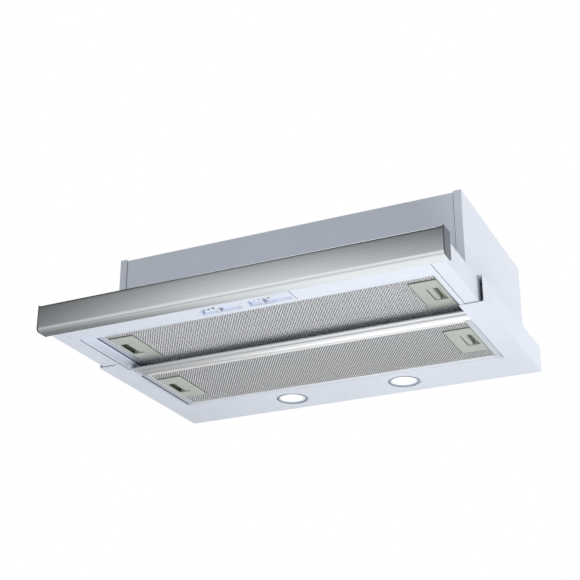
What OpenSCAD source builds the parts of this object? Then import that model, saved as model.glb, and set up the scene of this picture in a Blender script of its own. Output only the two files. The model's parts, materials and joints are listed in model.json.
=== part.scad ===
// Pull-out range hood, drawn pulled out as in use. Millimetres, +Z up, +Y towards the wall.
// The origin is the middle of the bottom of the pulled-out hood.
// Every module measures Y from the front edge of the lower tray, and placed() moves it to the origin.

/* [Housing] */
// Thickness of the steel sheet
sheet_t = 1; // [0.8:0.1:1.2]
// Height of the lower tray's skirts
tray_h = 40; // [40:0.5:46]
// Depth of the strip behind the filters that carries the lamps
rear_strip = 83; // [80:1:110]
// Width of the ledge between the tray's side and the box
ledge_w = 23.5; // [22:0.5:24.5]
// Height of the box above the tray
box_h = 135.5; // [134:0.5:180]
// How far the box starts behind the tray's front edge
box_setback = 4; // [2:0.5:8]
// Width of the folded flanges
flange_w = 11.5; // [10:0.5:12]
// How far the top panel lies below the sides' top edges
top_drop = 1; // [0.5:0.5:2]
// Height of the upright lip round the filter opening
lip_h = 12; // [9:0.5:14]

/* [Sliding frame] */
// How far the hood is pulled out
pull_out = 139; // [120:1:139]
// Space left behind the front bar when it is pushed in
buffer_gap = 1; // [0.5:0.5:2]
// Depth of the front bar
bar_d = 23; // [20:1:30]
// Height of the front bar
bar_h = 39; // [38.5:0.5:40]
// How far the front bar stands past each side of the tray
bar_overhang = 1; // [0:0.5:2]
// Radius of the front bar's lower front edge
bar_round = 5.5; // [4:0.5:7]
// Thickness of the front bar's stainless sheet
bar_t = 0.8; // [0.6:0.1:1]
// Thickness of each end cap
cap_t = 2; // [1.5:0.5:3]
// Depth of the front cross panel
cross_d = 31; // [30.5:0.5:34]
// Width of one arm
arm_w = 19.3; // [16:0.1:20]
// Height of the sliding frame's underside
frame_z = 1.5; // [1.3:0.1:2]
// Height of the arms' top
arm_top = 36; // [34:0.5:36.5]
// Width of the rims inside the arms
rim_w = 6.7; // [5:0.1:8]
// Visible seam between a rim and its arm
rim_seam = 0.6; // [0.3:0.1:0.8]
// Height of the rims' ledge
ledge_z = 18.2; // [17:0.1:18.3]
// How far the arms reach in behind the tray's front edge
arm_reach = 150; // [120:1:152]
// Space between an arm and the tray's skirt, which holds the runner
slide_gap = 6; // [5:0.5:8]
// Running clearance of sliding parts
run_gap = 0.4; // [0.3:0.05:0.5]
// Length of one glide block
glide_l = 22; // [15:1:30]

/* [Filters] */
// Width of one filter
filter_w = 512; // [480:1:540]
// Depth of one filter
filter_d = 148.4; // [140:0.1:150]
// Thickness of one filter
filter_t = 9.4; // [8.5:0.1:9.5]
// Width of the filter frame's visible lip
filter_lip = 4.5; // [3:0.5:6]
// Space between a filter and the side of the opening
filter_gap = 8; // [6:0.5:9]
// Height of the rear filter above the tray's underside
rear_filter_z = 3; // [2:0.5:3]
// Height of the front filter above the tray's underside
front_filter_z = 18.6; // [18.6:0.1:20]
// Distance from the cross panel's rear edge to the front filter
front_filter_gap = 28.5; // [20:0.5:30]
// Depth of the aluminium rail between the filters
rail_d = 30; // [20:1:32]

/* [Filter latches] */
// Distance of a latch's centre from its filter's front edge
latch_y = 72; // [60:1:80]
// Width of a latch plate
plate_w = 39; // [38:0.5:44]
// Length of a latch plate
plate_l = 89; // [70:1:100]
// Width of the finger window
window_w = 19; // [15:0.5:21]
// Length of the finger window
window_l = 41; // [30:1:45]
// Width of the finger tab
tab_w = 7.8; // [6:0.1:9]
// Travel of a latch
latch_travel = 7; // [6:0.5:8]

/* [Controls] */
// Width of the control insert
insert_w = 151; // [140:1:170]
// How far the control insert lies to the right of the middle
insert_x = 1.5; // [0:0.5:5]
// Length of one slider pocket
pocket_l = 61.3; // [55:0.1:62]
// Depth, front to back, of one slider pocket
pocket_d = 15; // [12:0.5:16]
// Height of a pocket's ceiling above the underside
pocket_h = 5; // [3:0.5:6]
// Middle of the light slider's pocket
light_pocket_x = -31.5; // [-40:0.1:-30]
// Middle of the speed slider's pocket
speed_pocket_x = 41.3; // [40:0.1:44]
// Rest place of the light slider, at its last step
light_x = -36.5; // [-37:0.1:-35]
// Travel of the light slider
light_travel = 14; // [10:1:14]
// Rest place of the speed slider, at its middle step
speed_x = 29.4; // [29:0.1:33]
// Travel of the speed slider to each side
speed_travel = 11.8; // [8:0.1:11.8]
// Width of a slider's knob
knob_w = 10; // [8:0.5:12]

/* [Lamps] */
// Distance of a lamp from the middle
lamp_x = 95; // [60:1:140]
// Distance of the lamps from the wall side of the tray
lamp_back = 45; // [40:1:50]
// Radius of a lamp's ring
lamp_r = 25.2; // [22:0.1:27]
// Radius of a lamp's lens
lens_r = 23; // [18:0.1:23.2]

/* [Blower and duct] */
// Outer diameter of the duct collar
duct_dia = 120; // [118:1:125]
// Height of the duct collar above the hood
collar_h = 40; // [30:1:50]
// Distance of the duct collar from the tray's front edge
duct_y = 145; // [140:1:160]
// Radius of the impeller
impeller_r = 46; // [40:0.5:46]
// Width of the impeller
impeller_w = 80; // [60:1:84]
// Clearance between the impeller and the scroll's tongue
tongue_gap = 4; // [3:0.5:5]
// How much wider the scroll is at its mouth than at its tongue
scroll_growth = 19; // [12:0.5:19]
// Wall of the scroll
scroll_wall = 2; // [1.5:0.5:2.5]
// Inner width of the scroll
scroll_w = 90; // [88:1:92]
// Radius of the motor
motor_r = 38; // [30:1:40]
// Length of the motor
motor_l = 50; // [40:1:60]
// Radius of the shaft
shaft_r = 4; // [3:0.5:5]
// Number of blades
blade_n = 30; // [20:1:36]

/* [Mounting] */
// Distance between the hanging holes, side to side
hang_x = 460; // [400:1:500]
// Distance between the hanging holes, front to back
hang_y = 220; // [180:1:240]
// Diameter of a hanging hole
hang_dia = 5; // [4:0.5:6]
// Diameter of the cable gland's bore
gland_bore = 8; // [6:0.5:10]

/* [Hidden] */
$fn = 64;
eps = 1;                // how far a cut runs past a face
face = 0.3;             // seat clearance of curved and moving pieces

// Across, from the middle outwards
filter_half = filter_w / 2;
opening_half = filter_half + filter_gap;
rim_in = opening_half + sheet_t + run_gap;
rim_out = rim_in + rim_w;
arm_in = rim_out + rim_seam;
arm_out = arm_in + arm_w;
skirt_in = arm_out + slide_gap;
tray_half = skirt_in + sheet_t;
box_half = tray_half - ledge_w;
flange_in = box_half - flange_w;
rim_ledge = 2;
shelf_half = rim_in - rim_ledge - face;
bar_half = tray_half + bar_overhang;
window_out = filter_half - filter_lip - 4;   // 4 mm of plate stands outside the window
window_in = window_out - window_w;
plate_out = filter_half - filter_lip - face;
plate_in = plate_out - plate_w;

// Front to back
travel = pull_out - buffer_gap;
bar_y = -pull_out - bar_d;
cross_y1 = -pull_out + cross_d;
rail_y = cross_y1 + travel + buffer_gap;
rear_filter_y = rail_y + rail_d + face;
opening_d = rear_filter_y + filter_d + face;
tray_d = opening_d + rear_strip;
front_filter_y = cross_y1 + front_filter_gap;
mid_y = (bar_y + tray_d) / 2;
lamp_y = tray_d - lamp_back;
back_y = tray_d - sheet_t;                   // front face of the sides' rear flanges

// Upwards
box_top = tray_h + box_h;
top_under = box_top - top_drop - sheet_t;    // underside of the top panel
flange_top = top_under - sheet_t;            // underside of the flanges that carry it
cover_z = arm_top;

// Filter latches, above the filter's own underside
lip_t = 0.8;
cup_top = 7.9;
cup_wall = 1;
cup_half = 28;
tab_z = 1.1;
tab_top = 6.6;
prong_t = 2;
prong_in = window_l / 2 + 1.5;
prong_w = 4;
prong_tip = opening_half + sheet_t - 0.1;
tab_in = window_in + 0.2;
cup_in = tab_in - latch_travel - cup_wall - 1;
tab_play = 0.3;

// Controls
plate_t = 1.5;
insert_gap = 0.1;
knob_play = 0.5;
ceiling_z = frame_z + pocket_h;
insert_y0 = -pull_out + 2;
insert_y1 = cross_y1 - 2 * insert_gap;
pocket_y1 = insert_y1 - 2;
pocket_y0 = pocket_y1 - pocket_d;
ceiling_t = 1.2;
stem_w = 3;
stem_d = 4;
switch_h = 16;
switch_margin = 8;
switch_wall = 3;

// Duct, damper and blower
duct_r = duct_dia / 2;
collar_t = 2;
collar_flange_t = 2.5;
collar_flange = 14;
collar_top = box_top + collar_h;
collar_z = top_under + sheet_t;              // underside of the collar's flange
adapter_t = 2;
adapter_z = top_under - 12.5;                // underside of the collar's adapter plate
seat_w = 4;
pin_r = 1.5;
pin_z = adapter_z + adapter_t + 3;
flap_t = 1.2;
flap_r = duct_r - collar_t - 2.5;
knuckle_r = 3;
knuckle_l = 12;
front_knuckles = [-38, 6];                   // where each of the front flap's knuckles starts
rear_knuckles = [-32, 12];
pin_gap = 0.05;
tongue_r = impeller_r + tongue_gap;
mouth_r = tongue_r + scroll_growth;
fan_y = duct_y + mouth_r / 2;
scroll_steps = 27;
mouth_top = tongue_r + scroll_wall + 1;      // height of the scroll's mouth above the shaft
fan_z = adapter_z - mouth_top;
scroll_half = scroll_w / 2;
scroll_out = scroll_half + scroll_wall;
inlet_r = impeller_r - 8;
bell_l = 3;
hub_r = 12;
hub_l = 24;
blade_l = 9;
blade_t = 1;
blade_turn = 35;
fan_ring_t = 2;
fan_ring_w = 5;
fit_gap = 0.02;                              // between pieces that are pressed or glued together
bracket_gap = 12;
motor_x1 = -scroll_out - bracket_gap;        // fan side of the motor
motor_x0 = motor_x1 - motor_l;
case_t = 1.5;
stator_in = motor_r * 0.55;
rotor_r = stator_in - 0.5;
stator_end = 9;                              // from each end of the motor to its windings
vent_r = 3;
foot_r = 55;
foot_w = 12;
bracket_t = 2;
bracket_w = 10;                              // width of the bracket's ring
foot_angles = [-20, -110, 160];
hanger_x = [14, 34];                         // ribs that hang the scroll from the top panel
hanger_y = duct_y + duct_r + 3;
hanger_l = 16;
hang_mid = duct_y + 3;                       // middle of the hanging holes

// Fasteners
screw_r = 1.5;
screw_hole = screw_r + 0.2;
head_r = 3.2;
head_h = 2;
flange_mid = box_half - flange_w / 2;
screw_rows = [0.14, 0.5, 0.86];              // shares of the tray's depth where the top is screwed on
screw_steps = [0.22, 0.52, 0.82];            // shares of the box's height where the back is screwed on
cover_rows = [0.72, 0.22];                   // shares of the pull-out where the cover is screwed on
front_screw_rise = 15;                       // above the tray
cover_screw_in = 9;
top_screws = [for (s = [-1, 1]) for (k = screw_rows) [s * flange_mid, k * tray_d]];
back_screws = [for (s = [-1, 1]) for (k = screw_steps) [s * flange_mid, tray_h + k * box_h]];
front_screws = [for (s = [-1, 1]) [s * flange_mid, tray_h + front_screw_rise]];
cover_screws = [for (s = [-1, 1]) for (k = cover_rows) [s * (arm_out - cover_screw_in), -k * pull_out]];

module placed() {
    translate([0, -mid_y, 0]) children();
}

module block(low, high) {
    translate(low) cube(high - low);
}

module both_sides() {
    children();
    mirror([1, 0, 0]) children();
}

// Draws the right-hand piece, or its mirror image for the left
module on_side(side) {
    if (side == "right") children();
    else mirror([1, 0, 0]) children();
}

module rod_x(x0, x1, y, z, r) {
    translate([x0, y, z]) rotate([0, 90, 0]) cylinder(h = x1 - x0, r = r);
}

// Hole for a screw whose shank runs along +Y from y
module screw_bore_y(x, y, z) {
    translate([x, y - eps, z]) rotate([-90, 0, 0]) cylinder(h = sheet_t + 2 * eps, r = screw_hole);
}

// ---- Housing ----

module lower_tray() color("white") placed() difference() {
    union() {
        block([-tray_half, 0, 0], [tray_half, tray_d, sheet_t]);
        both_sides() block([skirt_in, 0, 0], [tray_half, tray_d, tray_h]);
        block([-tray_half, back_y, 0], [tray_half, tray_d, tray_h]);
        both_sides() block([flange_in, 0, tray_h - sheet_t], [tray_half, tray_d, tray_h]);
        block([-tray_half, tray_d - flange_w, tray_h - sheet_t], [tray_half, tray_d, tray_h]);
        both_sides() block([opening_half, rail_y, 0], [opening_half + sheet_t, opening_d + sheet_t, lip_h]);
        block([-opening_half, opening_d, 0], [opening_half, opening_d + sheet_t, lip_h]);
    }
    block([-opening_half, -eps, -eps], [opening_half, opening_d, sheet_t + eps]);
    both_sides() translate([lamp_x, lamp_y, -eps]) cylinder(h = sheet_t + 2 * eps, r = lamp_r + lamp_play);
    both_sides() prong_slots(opening_half - eps, opening_half + sheet_t + eps, rear_filter_y, rear_filter_z);
    for (x = tab_places) block([x - hook_w / 2 - face, opening_d - eps, hook_z - face],
        [x + hook_w / 2 + face, opening_d + sheet_t + eps, hook_z + hook_t + face]);
}

// Plate with folded flanges: front, rear, bottom and top
module side_panel(side) color("white") placed() on_side(side) difference() {
    union() {
        block([box_half - sheet_t, box_setback, tray_h], [box_half, tray_d, box_top]);
        block([flange_in, box_setback, tray_h], [box_half, box_setback + sheet_t, box_top]);
        block([flange_in, back_y, tray_h], [box_half, tray_d, box_top]);
        block([flange_in, box_setback, tray_h], [box_half, tray_d, tray_h + sheet_t]);
        block([flange_in, box_setback + 2 * sheet_t, flange_top], [box_half, back_y - sheet_t, top_under]);
    }
    for (p = top_screws) screw_bore([p[0], p[1], flange_top], sheet_t);
    for (p = back_screws) screw_bore_y(p[0], back_y, p[1]);
    for (p = front_screws) screw_bore_y(p[0], box_setback, p[1]);
}

module screw_bore(at, depth) {
    translate(at - [0, 0, eps]) cylinder(h = depth + 2 * eps, r = screw_hole);
}

// Wall between the sides, with wings behind their flanges and a fold along its top and bottom
module wall_panel(y, fold_y0, fold_y1, holes) {
    inner = flange_in - face;
    difference() {
        union() {
            block([-inner, y, tray_h], [inner, y + sheet_t, top_under]);
            block([-box_half + sheet_t + face, y, tray_h + sheet_t],
                [box_half - sheet_t - face, y + sheet_t, flange_top]);
            block([-inner, fold_y0, tray_h], [inner, fold_y1, tray_h + sheet_t]);
            block([-inner, fold_y0, flange_top], [inner, fold_y1, top_under]);
        }
        for (p = holes) screw_bore_y(p[0], y, p[1]);
    }
}

module front_panel() color("gainsboro") placed()
    wall_panel(box_setback + sheet_t, box_setback + sheet_t, box_setback + flange_w, front_screws);

module back_panel() color("lightgray") placed()
    wall_panel(back_y - sheet_t, back_y - flange_w, back_y, back_screws);

module top_panel() color("lightgray") placed() difference() {
    block([-box_half + sheet_t + face, box_setback + 2 * sheet_t + eps, top_under],
        [box_half - sheet_t - face, back_y - face, top_under + sheet_t]);
    translate([0, duct_y, top_under - eps]) cylinder(h = sheet_t + 2 * eps, r = duct_r + run_gap, $fn = 96);
    for (x = [-1, 1]) for (y = [-1, 1])
        translate([x * hang_x / 2, hang_mid + y * hang_y / 2, top_under - eps])
            cylinder(h = sheet_t + 2 * eps, d = hang_dia);
    translate([gland_x, gland_y, top_under - eps]) cylinder(h = sheet_t + 2 * eps, r = gland_r + gland_play);
    for (p = top_screws) screw_bore([p[0], p[1], top_under], sheet_t);
}

// ---- Duct collar and back-draught damper ----

module duct_collar() color("dimgray") placed() translate([0, duct_y, 0]) difference() {
    union() {
        translate([0, 0, adapter_z]) cylinder(h = collar_top - adapter_z, r = duct_r, $fn = 96);
        translate([0, 0, collar_z]) cylinder(h = collar_flange_t, r = duct_r + collar_flange, $fn = 96);
    }
    translate([0, 0, pin_z - flap_t / 2 - face])
        cylinder(h = collar_top, r = duct_r - collar_t, $fn = 96);
    translate([0, 0, adapter_z + adapter_t])
        cylinder(h = collar_top, r = duct_r - collar_t - seat_w, $fn = 96);
    block([-scroll_half, -mouth_r / 2, adapter_z - eps],
        [scroll_half, mouth_r / 2, adapter_z + adapter_t + eps]);
    rod_x(-duct_r - eps, duct_r + eps, 0, pin_z, pin_r + pin_gap);
}

module damper_pin() color("silver") placed()
    rod_x(-duct_r + face, duct_r - face, duct_y, pin_z, pin_r);

// Half disc that hangs on the pin by two knuckles; the front one has them at first[]
module damper_flap(first) {
    difference() {
        union() {
            translate([0, 0, -flap_t / 2]) linear_extrude(flap_t) difference() {
                circle(flap_r, $fn = 96);
                translate([-duct_r, -knuckle_r - run_gap]) square(duct_dia);
            }
            for (x = first) {
                rod_x(x, x + knuckle_l, 0, 0, knuckle_r);
                block([x, -knuckle_r - eps, -flap_t / 2], [x + knuckle_l, 0, flap_t / 2]);
            }
        }
        rod_x(-duct_r, duct_r, 0, 0, pin_r + pin_gap);
    }
}

module front_damper_flap() color("darkgray") placed()
    translate([0, duct_y, pin_z]) damper_flap(front_knuckles);

module rear_damper_flap() color("darkgray") placed()
    translate([0, duct_y, pin_z]) rotate([0, 0, 180]) damper_flap(rear_knuckles);

// ---- Blower ----

// Spiral from the tongue at the top, round the back and bottom, to the front wall of the mouth
function scroll_point(t, extra) =
    let (a = 90 - 270 * t, r = tongue_r + scroll_growth * t + extra) [r * cos(a), r * sin(a)];

// The spiral and its mouth, in Y and Z about the shaft, grown by extra and with its mouth at top
module scroll_outline(extra, top) polygon([
    [extra, tongue_r + extra],
    for (i = [1:scroll_steps]) scroll_point(i / scroll_steps, extra),
    [-mouth_r - extra, top],
    [extra, top]
]);

// Extrudes an outline drawn in Y and Z along +X from x0
module along_x(x0, length) {
    translate([x0, fan_y, fan_z]) rotate([90, 0, 90]) linear_extrude(length) children();
}

module scroll_half_shell(side) color("slategray") placed() on_side(side) difference() {
    union() {
        along_x(0, scroll_out) scroll_outline(scroll_wall, mouth_top);
        rod_x(scroll_out - eps, scroll_out + bell_l, fan_y, fan_z, inlet_r + scroll_wall);
        for (x = hanger_x) block([x, hanger_y, fan_z], [x + scroll_wall, hanger_y + hanger_l, top_under]);
    }
    along_x(-eps, scroll_half + eps) scroll_outline(0, mouth_top + eps);
    rod_x(scroll_half - eps, scroll_out + bell_l + eps, fan_y, fan_z, inlet_r);
}

// Blades from ring to ring, grown all round by some clearance
module fan_blades(x0, x1, grow) along_x(x0, x1 - x0) for (i = [0:blade_n - 1]) rotate(i * 360 / blade_n)
    translate([impeller_r - blade_l, 0]) rotate(blade_turn) translate([-grow, -grow])
        square([blade_l + 2 * grow, blade_t + 2 * grow]);

module impeller_blades() color("steelblue") placed()
    fan_blades(-impeller_w / 2 + fan_ring_t, impeller_w / 2 - fan_ring_t, 0);

module impeller_rings() color("steelblue") placed()
    for (x = [-impeller_w / 2, impeller_w / 2 - fan_ring_t]) along_x(x, fan_ring_t) difference() {
        circle(impeller_r);
        circle(impeller_r - fan_ring_w);
    }

// Plate in the middle of the blades, with a slot for each, and its hub on the shaft
module impeller_hub() color("slategray") placed() difference() {
    union() {
        along_x(-fan_ring_t / 2, fan_ring_t) circle(impeller_r - fan_ring_t);
        along_x(-hub_l / 2, hub_l) circle(hub_r);
    }
    along_x(-hub_l, 2 * hub_l) circle(shaft_r + fit_gap);
    fan_blades(-fan_ring_t, fan_ring_t, fit_gap);
}

module motor_shaft() color("silver") placed() {
    rod_x(motor_x0 - shaft_r - 2 * eps, hub_l / 2 + shaft_r, fan_y, fan_z, shaft_r);
    rod_x(motor_x0 + stator_end + eps, motor_x1 - stator_end - eps, fan_y, fan_z, rotor_r);
}

module motor_case() color("gray") placed() difference() {
    rod_x(motor_x0, motor_x1, fan_y, fan_z, motor_r);
    rod_x(motor_x0 + case_t, motor_x1 - case_t, fan_y, fan_z, motor_r - case_t);
    rod_x(motor_x0 - eps, motor_x1 + eps, fan_y, fan_z, shaft_r + pin_gap);
    for (a = [0:45:315]) along_x(motor_x0 - eps, case_t + 2 * eps)
        rotate(a) translate([motor_r * 0.6, 0]) circle(vent_r);
}

module motor_stator() color("peru") placed() difference() {
    rod_x(motor_x0 + stator_end, motor_x1 - stator_end, fan_y, fan_z, motor_r - case_t - fit_gap);
    rod_x(motor_x0, motor_x1, fan_y, fan_z, stator_in);
}

// One foot at angle a about the shaft: a radial strap and the leg bent down from it
module rotated_foot(a) {
    root = motor_r - bracket_w / 2;
    along_x(motor_x1, bracket_t) rotate(a) translate([root, -foot_w / 2]) square([foot_r - root, foot_w]);
    along_x(motor_x1, bracket_gap) rotate(a) translate([foot_r - bracket_t, -foot_w / 2])
        square([bracket_t, foot_w]);
}

// Ring on the motor's face with three bent feet that stand on the scroll's side
module motor_bracket() color("lightsteelblue") placed() {
    along_x(motor_x1, bracket_t) difference() {
        circle(motor_r);
        circle(motor_r - bracket_w);
    }
    for (a = foot_angles) rotated_foot(a);
}

// ---- Electrical parts inside the box ----

cap_r = 15;
cap_l = 50;
cap_x = -200;
cap_z = 120;
cap_gap = 3;                                 // between the capacitor and the back panel
cap_foot = 8;                                // half height of its foot
cap_foot_d = 12;
box_back = back_y - sheet_t;                 // inner face of the back panel

module run_capacitor() color("ivory") placed() union() {
    rod_x(cap_x, cap_x + cap_l, box_back - cap_r - cap_gap, cap_z, cap_r);
    block([cap_x + cap_foot, box_back - cap_foot_d, cap_z - cap_foot],
        [cap_x + cap_l - cap_foot, box_back, cap_z + cap_foot]);
}

term_w = 80;
term_d = 56;
term_h = 34;
term_t = 2;
gland_x = 170;
gland_y = back_y - flange_w - term_d / 2 - 0.5;
gland_r = 8;
gland_play = 0.1;
gland_nut = 12;
gland_nut_h = 5;
gland_cap_h = 6;
gland_drop = 8;                              // how far the thread reaches below the top panel
gland_l = 12;

module terminal_box() color("black") placed() difference() {
    block([gland_x - term_w / 2, gland_y - term_d / 2, top_under - term_h],
        [gland_x + term_w / 2, gland_y + term_d / 2, top_under]);
    block([gland_x - term_w / 2 + term_t, gland_y - term_d / 2 + term_t, top_under - term_h + term_t],
        [gland_x + term_w / 2 - term_t, gland_y + term_d / 2 - term_t, top_under - term_t]);
    translate([gland_x, gland_y, top_under - 2 * term_t]) cylinder(h = 3 * term_t, r = gland_r + gland_play);
}

module cable_gland() color("gray") placed() translate([gland_x, gland_y, 0]) difference() {
    union() {
        translate([0, 0, top_under - gland_drop]) cylinder(h = gland_l, r = gland_r);
        translate([0, 0, top_under + sheet_t]) cylinder(h = gland_nut_h, r = gland_nut, $fn = 6);
        translate([0, 0, top_under + sheet_t + gland_nut_h]) cylinder(h = gland_cap_h, r = gland_r + sheet_t);
    }
    translate([0, 0, top_under - gland_drop - eps])
        cylinder(h = gland_drop + sheet_t + gland_nut_h + gland_cap_h + 2 * eps, d = gland_bore);
}

driver_x = -60;
driver_l = 100;
driver_z = 50;
driver_h = 24;
driver_foot = 12;                            // how far the foot reaches past each end
driver_foot_t = 2;
driver_foot_in = 4;

module lamp_driver() color("whitesmoke") placed() union() {
    block([driver_x, box_back - driver_h, driver_z], [driver_x + driver_l, box_back, driver_z + driver_h]);
    block([driver_x - driver_foot, box_back - driver_foot_t, driver_z + driver_foot_in],
        [driver_x + driver_l + driver_foot, box_back, driver_z + driver_h - driver_foot_in]);
}

// ---- Lamps ----

ring_t = 1.2;
ring_flange = 3;
lamp_play = 0.1;
lens_z = 0.4;
lamp_h = 20;
lamp_base = 8;
fin_pitch = 6;
fin_t = 2;
fin_l = 32;

module lamp_ring(side) color("silver") placed() on_side(side) translate([lamp_x, lamp_y, 0]) difference() {
    union() {
        cylinder(h = sheet_t + ring_t, r = lamp_r);
        translate([0, 0, sheet_t]) cylinder(h = ring_t, r = lamp_r + ring_flange);
    }
    translate([0, 0, -eps]) cylinder(h = sheet_t + ring_t + 2 * eps, r = lens_r + fit_gap);
}

module lamp_lens(side) color("white") placed() on_side(side)
    translate([lamp_x, lamp_y, lens_z]) cylinder(h = sheet_t + ring_t - lens_z, r = lens_r);

module lamp_body(side) color("silver") placed() on_side(side)
    translate([lamp_x, lamp_y, sheet_t + ring_t]) {
        cylinder(h = lamp_base, r = lens_r + eps);
        for (i = [-3:3]) translate([i * fin_pitch - fin_t / 2, -fin_l / 2, lamp_base - eps])
            cube([fin_t, fin_l, lamp_h - lamp_base]);
    }

// ---- Runners and the rail between the filters ----

runner_z0 = 12;
runner_z1 = 30;
runner_t = 1;
runner_front = 6;
runner_end = 5;

module runner(side) color("silver") placed() on_side(side) {
    block([skirt_in - runner_t, runner_front, runner_z0], [skirt_in, back_y - runner_end, runner_z1]);
    for (z = [runner_z0, runner_z1 - runner_t])
        block([arm_out + runner_t, runner_front, z], [skirt_in, back_y - runner_end, z + runner_t]);
    block([arm_out + 1.5 * runner_t, glide_y[0] - run_gap - stop_l, runner_z0],
        [skirt_in, glide_y[0] - run_gap, runner_z1]);
}

stop_l = 6;                                  // block that stops the front glide
glide_back = 90;
glide_end = 4;
glide_y = [arm_reach - glide_back, arm_reach - glide_l - glide_end];

module glides() color("ivory") placed() both_sides() for (y = glide_y)
    block([arm_out, y, runner_z0 + runner_t + run_gap],
        [skirt_in - runner_t - run_gap, y + glide_l, runner_z1 - runner_t - run_gap]);

// Angle with two grooves below, held to the opening's lips by its end plates
module filter_rail() color("silver") placed() difference() {
    union() {
        block([-rail_half, rail_y, rear_filter_z], [rail_half, rail_y + rail_d, rear_filter_z + rail_h]);
        both_sides() block([rail_half, rail_y + rail_tab, rear_filter_z + rail_wall],
            [opening_half, rail_y + rail_d - rail_tab, rear_filter_z + rail_wall + rail_tab / 2]);
        both_sides() block([opening_half - rail_tab / 2, rail_y + rail_tab, rear_filter_z + rail_wall],
            [opening_half, rail_y + rail_d - rail_tab, lip_h]);
    }
    block([-rail_half - eps, rail_y - eps, rear_filter_z + rail_floor],
        [rail_half + eps, rail_y + rail_d - rail_wall, rear_filter_z + rail_h + eps]);
    for (k = rail_grooves) block([-rail_half - eps, rail_y + k * rail_d, rear_filter_z - eps],
        [rail_half + eps, rail_y + k * rail_d + groove_w, rear_filter_z + groove_w / 2]);
}

rail_half = filter_half - 1;
rail_h = 9;
rail_wall = 2;
rail_floor = 2.5;
rail_tab = 3;                                // end plates' thickness is half of this
rail_grooves = [0.3, 0.567];
groove_w = 2;

// ---- Filters and their latches ----

hook_w = 24;
hook_z = rear_filter_z + 4;
hook_t = 2;
hook_l = 2.5;
tab_places = [-150, 150];
brim_gap = 1.2;                              // between the filter's brims and the sides of the opening

// Slots for the two prongs of a right-hand latch, through x0 to x1
module prong_slots(x0, x1, y, z) for (s = [-1, 1])
    block([x0, y + latch_y + (s > 0 ? prong_in : -prong_in - prong_w) - face, z + tab_z - face],
        [x1, y + latch_y + (s > 0 ? prong_in + prong_w : -prong_in) + face, z + tab_z + prong_t + face]);

module filter_frame(y, z, hooks) color("lightgray") placed() difference() {
    union() {
        block([-filter_half, y, z], [filter_half, y + filter_d, z + filter_t]);
        both_sides() block([filter_half - eps, y, z], [opening_half - brim_gap, y + filter_d, z + lip_t]);
        if (hooks) for (x = tab_places) block([x - hook_w / 2, y + filter_d - eps, hook_z],
            [x + hook_w / 2, y + filter_d + hook_l, hook_z + hook_t]);
    }
    block([-filter_half + sheet_t, y + sheet_t, z + lip_t],
        [filter_half - sheet_t, y + filter_d - sheet_t, z + filter_t - lip_t]);
    block([-filter_half + filter_lip, y + filter_lip, z - eps],
        [filter_half - filter_lip, y + filter_d - filter_lip, z + filter_t + eps]);
    both_sides() prong_slots(filter_half - sheet_t - eps, filter_half + eps, y, z);
}

// The layers of expanded mesh, as one pack with room for the latches
module filter_mesh(y, z) color("silver") placed() difference() {
    block([-filter_half + sheet_t, y + sheet_t, z + lip_t],
        [filter_half - sheet_t, y + filter_d - sheet_t, z + filter_t - lip_t]);
    both_sides() block([cup_in, y + latch_y - cup_half, z],
        [filter_half, y + latch_y + cup_half, z + filter_t]);
}

// Plate flush with the filter's lip, a closed cup above it and a sloping finger rest
module latch_plate(side, y, z) color("darkseagreen") placed() on_side(side)
    translate([0, y + latch_y, z]) {
        difference() {
            union() {
                block([plate_in, -plate_l / 2, 0], [plate_out, plate_l / 2, lip_t]);
                block([cup_in, -cup_half, lip_t], [filter_half - sheet_t, cup_half, cup_top]);
            }
            block([cup_in + cup_wall, -cup_half + cup_wall, lip_t],
                [filter_half - sheet_t - cup_wall, cup_half - cup_wall, cup_top - cup_wall]);
            block([window_in, -window_l / 2, -eps], [window_out, window_l / 2, lip_t + eps]);
            prong_slots(filter_half - sheet_t - cup_wall - eps, filter_half, -latch_y, 0);
        }
        translate([0, window_l / 2, 0]) rotate([90, 0, 0]) linear_extrude(window_l) polygon([
            [window_out, lip_t], [window_out + cup_wall, lip_t],
            [window_out + cup_wall, cup_top - cup_wall], [window_out - 6, cup_top - cup_wall]]);
    }

// Finger tab with two prongs that reach out past the filter
module latch(side, y, z) color("darkseagreen") placed() on_side(side)
    translate([0, y + latch_y, z]) {
        block([tab_in, -window_l / 2 + tab_play, tab_z], [tab_in + tab_w, window_l / 2 - tab_play, tab_top]);
        block([tab_in, -prong_in - prong_w, tab_z], [tab_in + tab_w, prong_in + prong_w, tab_z + prong_t]);
        for (s = [-1, 1]) block([tab_in, s > 0 ? prong_in : -prong_in - prong_w, tab_z],
            [prong_tip, s > 0 ? prong_in + prong_w : -prong_in, tab_z + prong_t]);
    }

// ---- Sliding frame ----

// Front bar's section in Y and Z, drawn from its front face, shrunk by inset
module bar_section(inset) {
    r = bar_round - inset;
    translate([inset, bar_round]) square([bar_d - 2 * inset, bar_h - bar_round - inset]);
    translate([bar_round, inset]) square([bar_d - bar_round - inset, bar_h - 2 * inset]);
    translate([bar_round, bar_round]) circle(r);
}

module bar_length(x0, length) {
    translate([x0, bar_y, 0]) rotate([90, 0, 90]) linear_extrude(length) children();
}

bar_lip = 6;

module fascia_bar() color("silver") placed() difference() {
    bar_length(-bar_half + cap_t, 2 * (bar_half - cap_t)) bar_section(0);
    bar_length(-bar_half, 2 * bar_half) bar_section(bar_t);
    block([-bar_half, -pull_out - bar_t - eps, bar_lip], [bar_half, -pull_out + eps, bar_h - bar_lip]);
}

cap_plug = 8;
plug_t = 2;
plug_gap = 0.05;

module end_cap(side) color("slategray") placed() on_side(side) {
    bar_length(bar_half - cap_t, cap_t) bar_section(0);
    bar_length(bar_half - cap_t - cap_plug, cap_plug) difference() {
        bar_section(bar_t + plug_gap);
        bar_section(bar_t + plug_t);
    }
}

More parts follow.
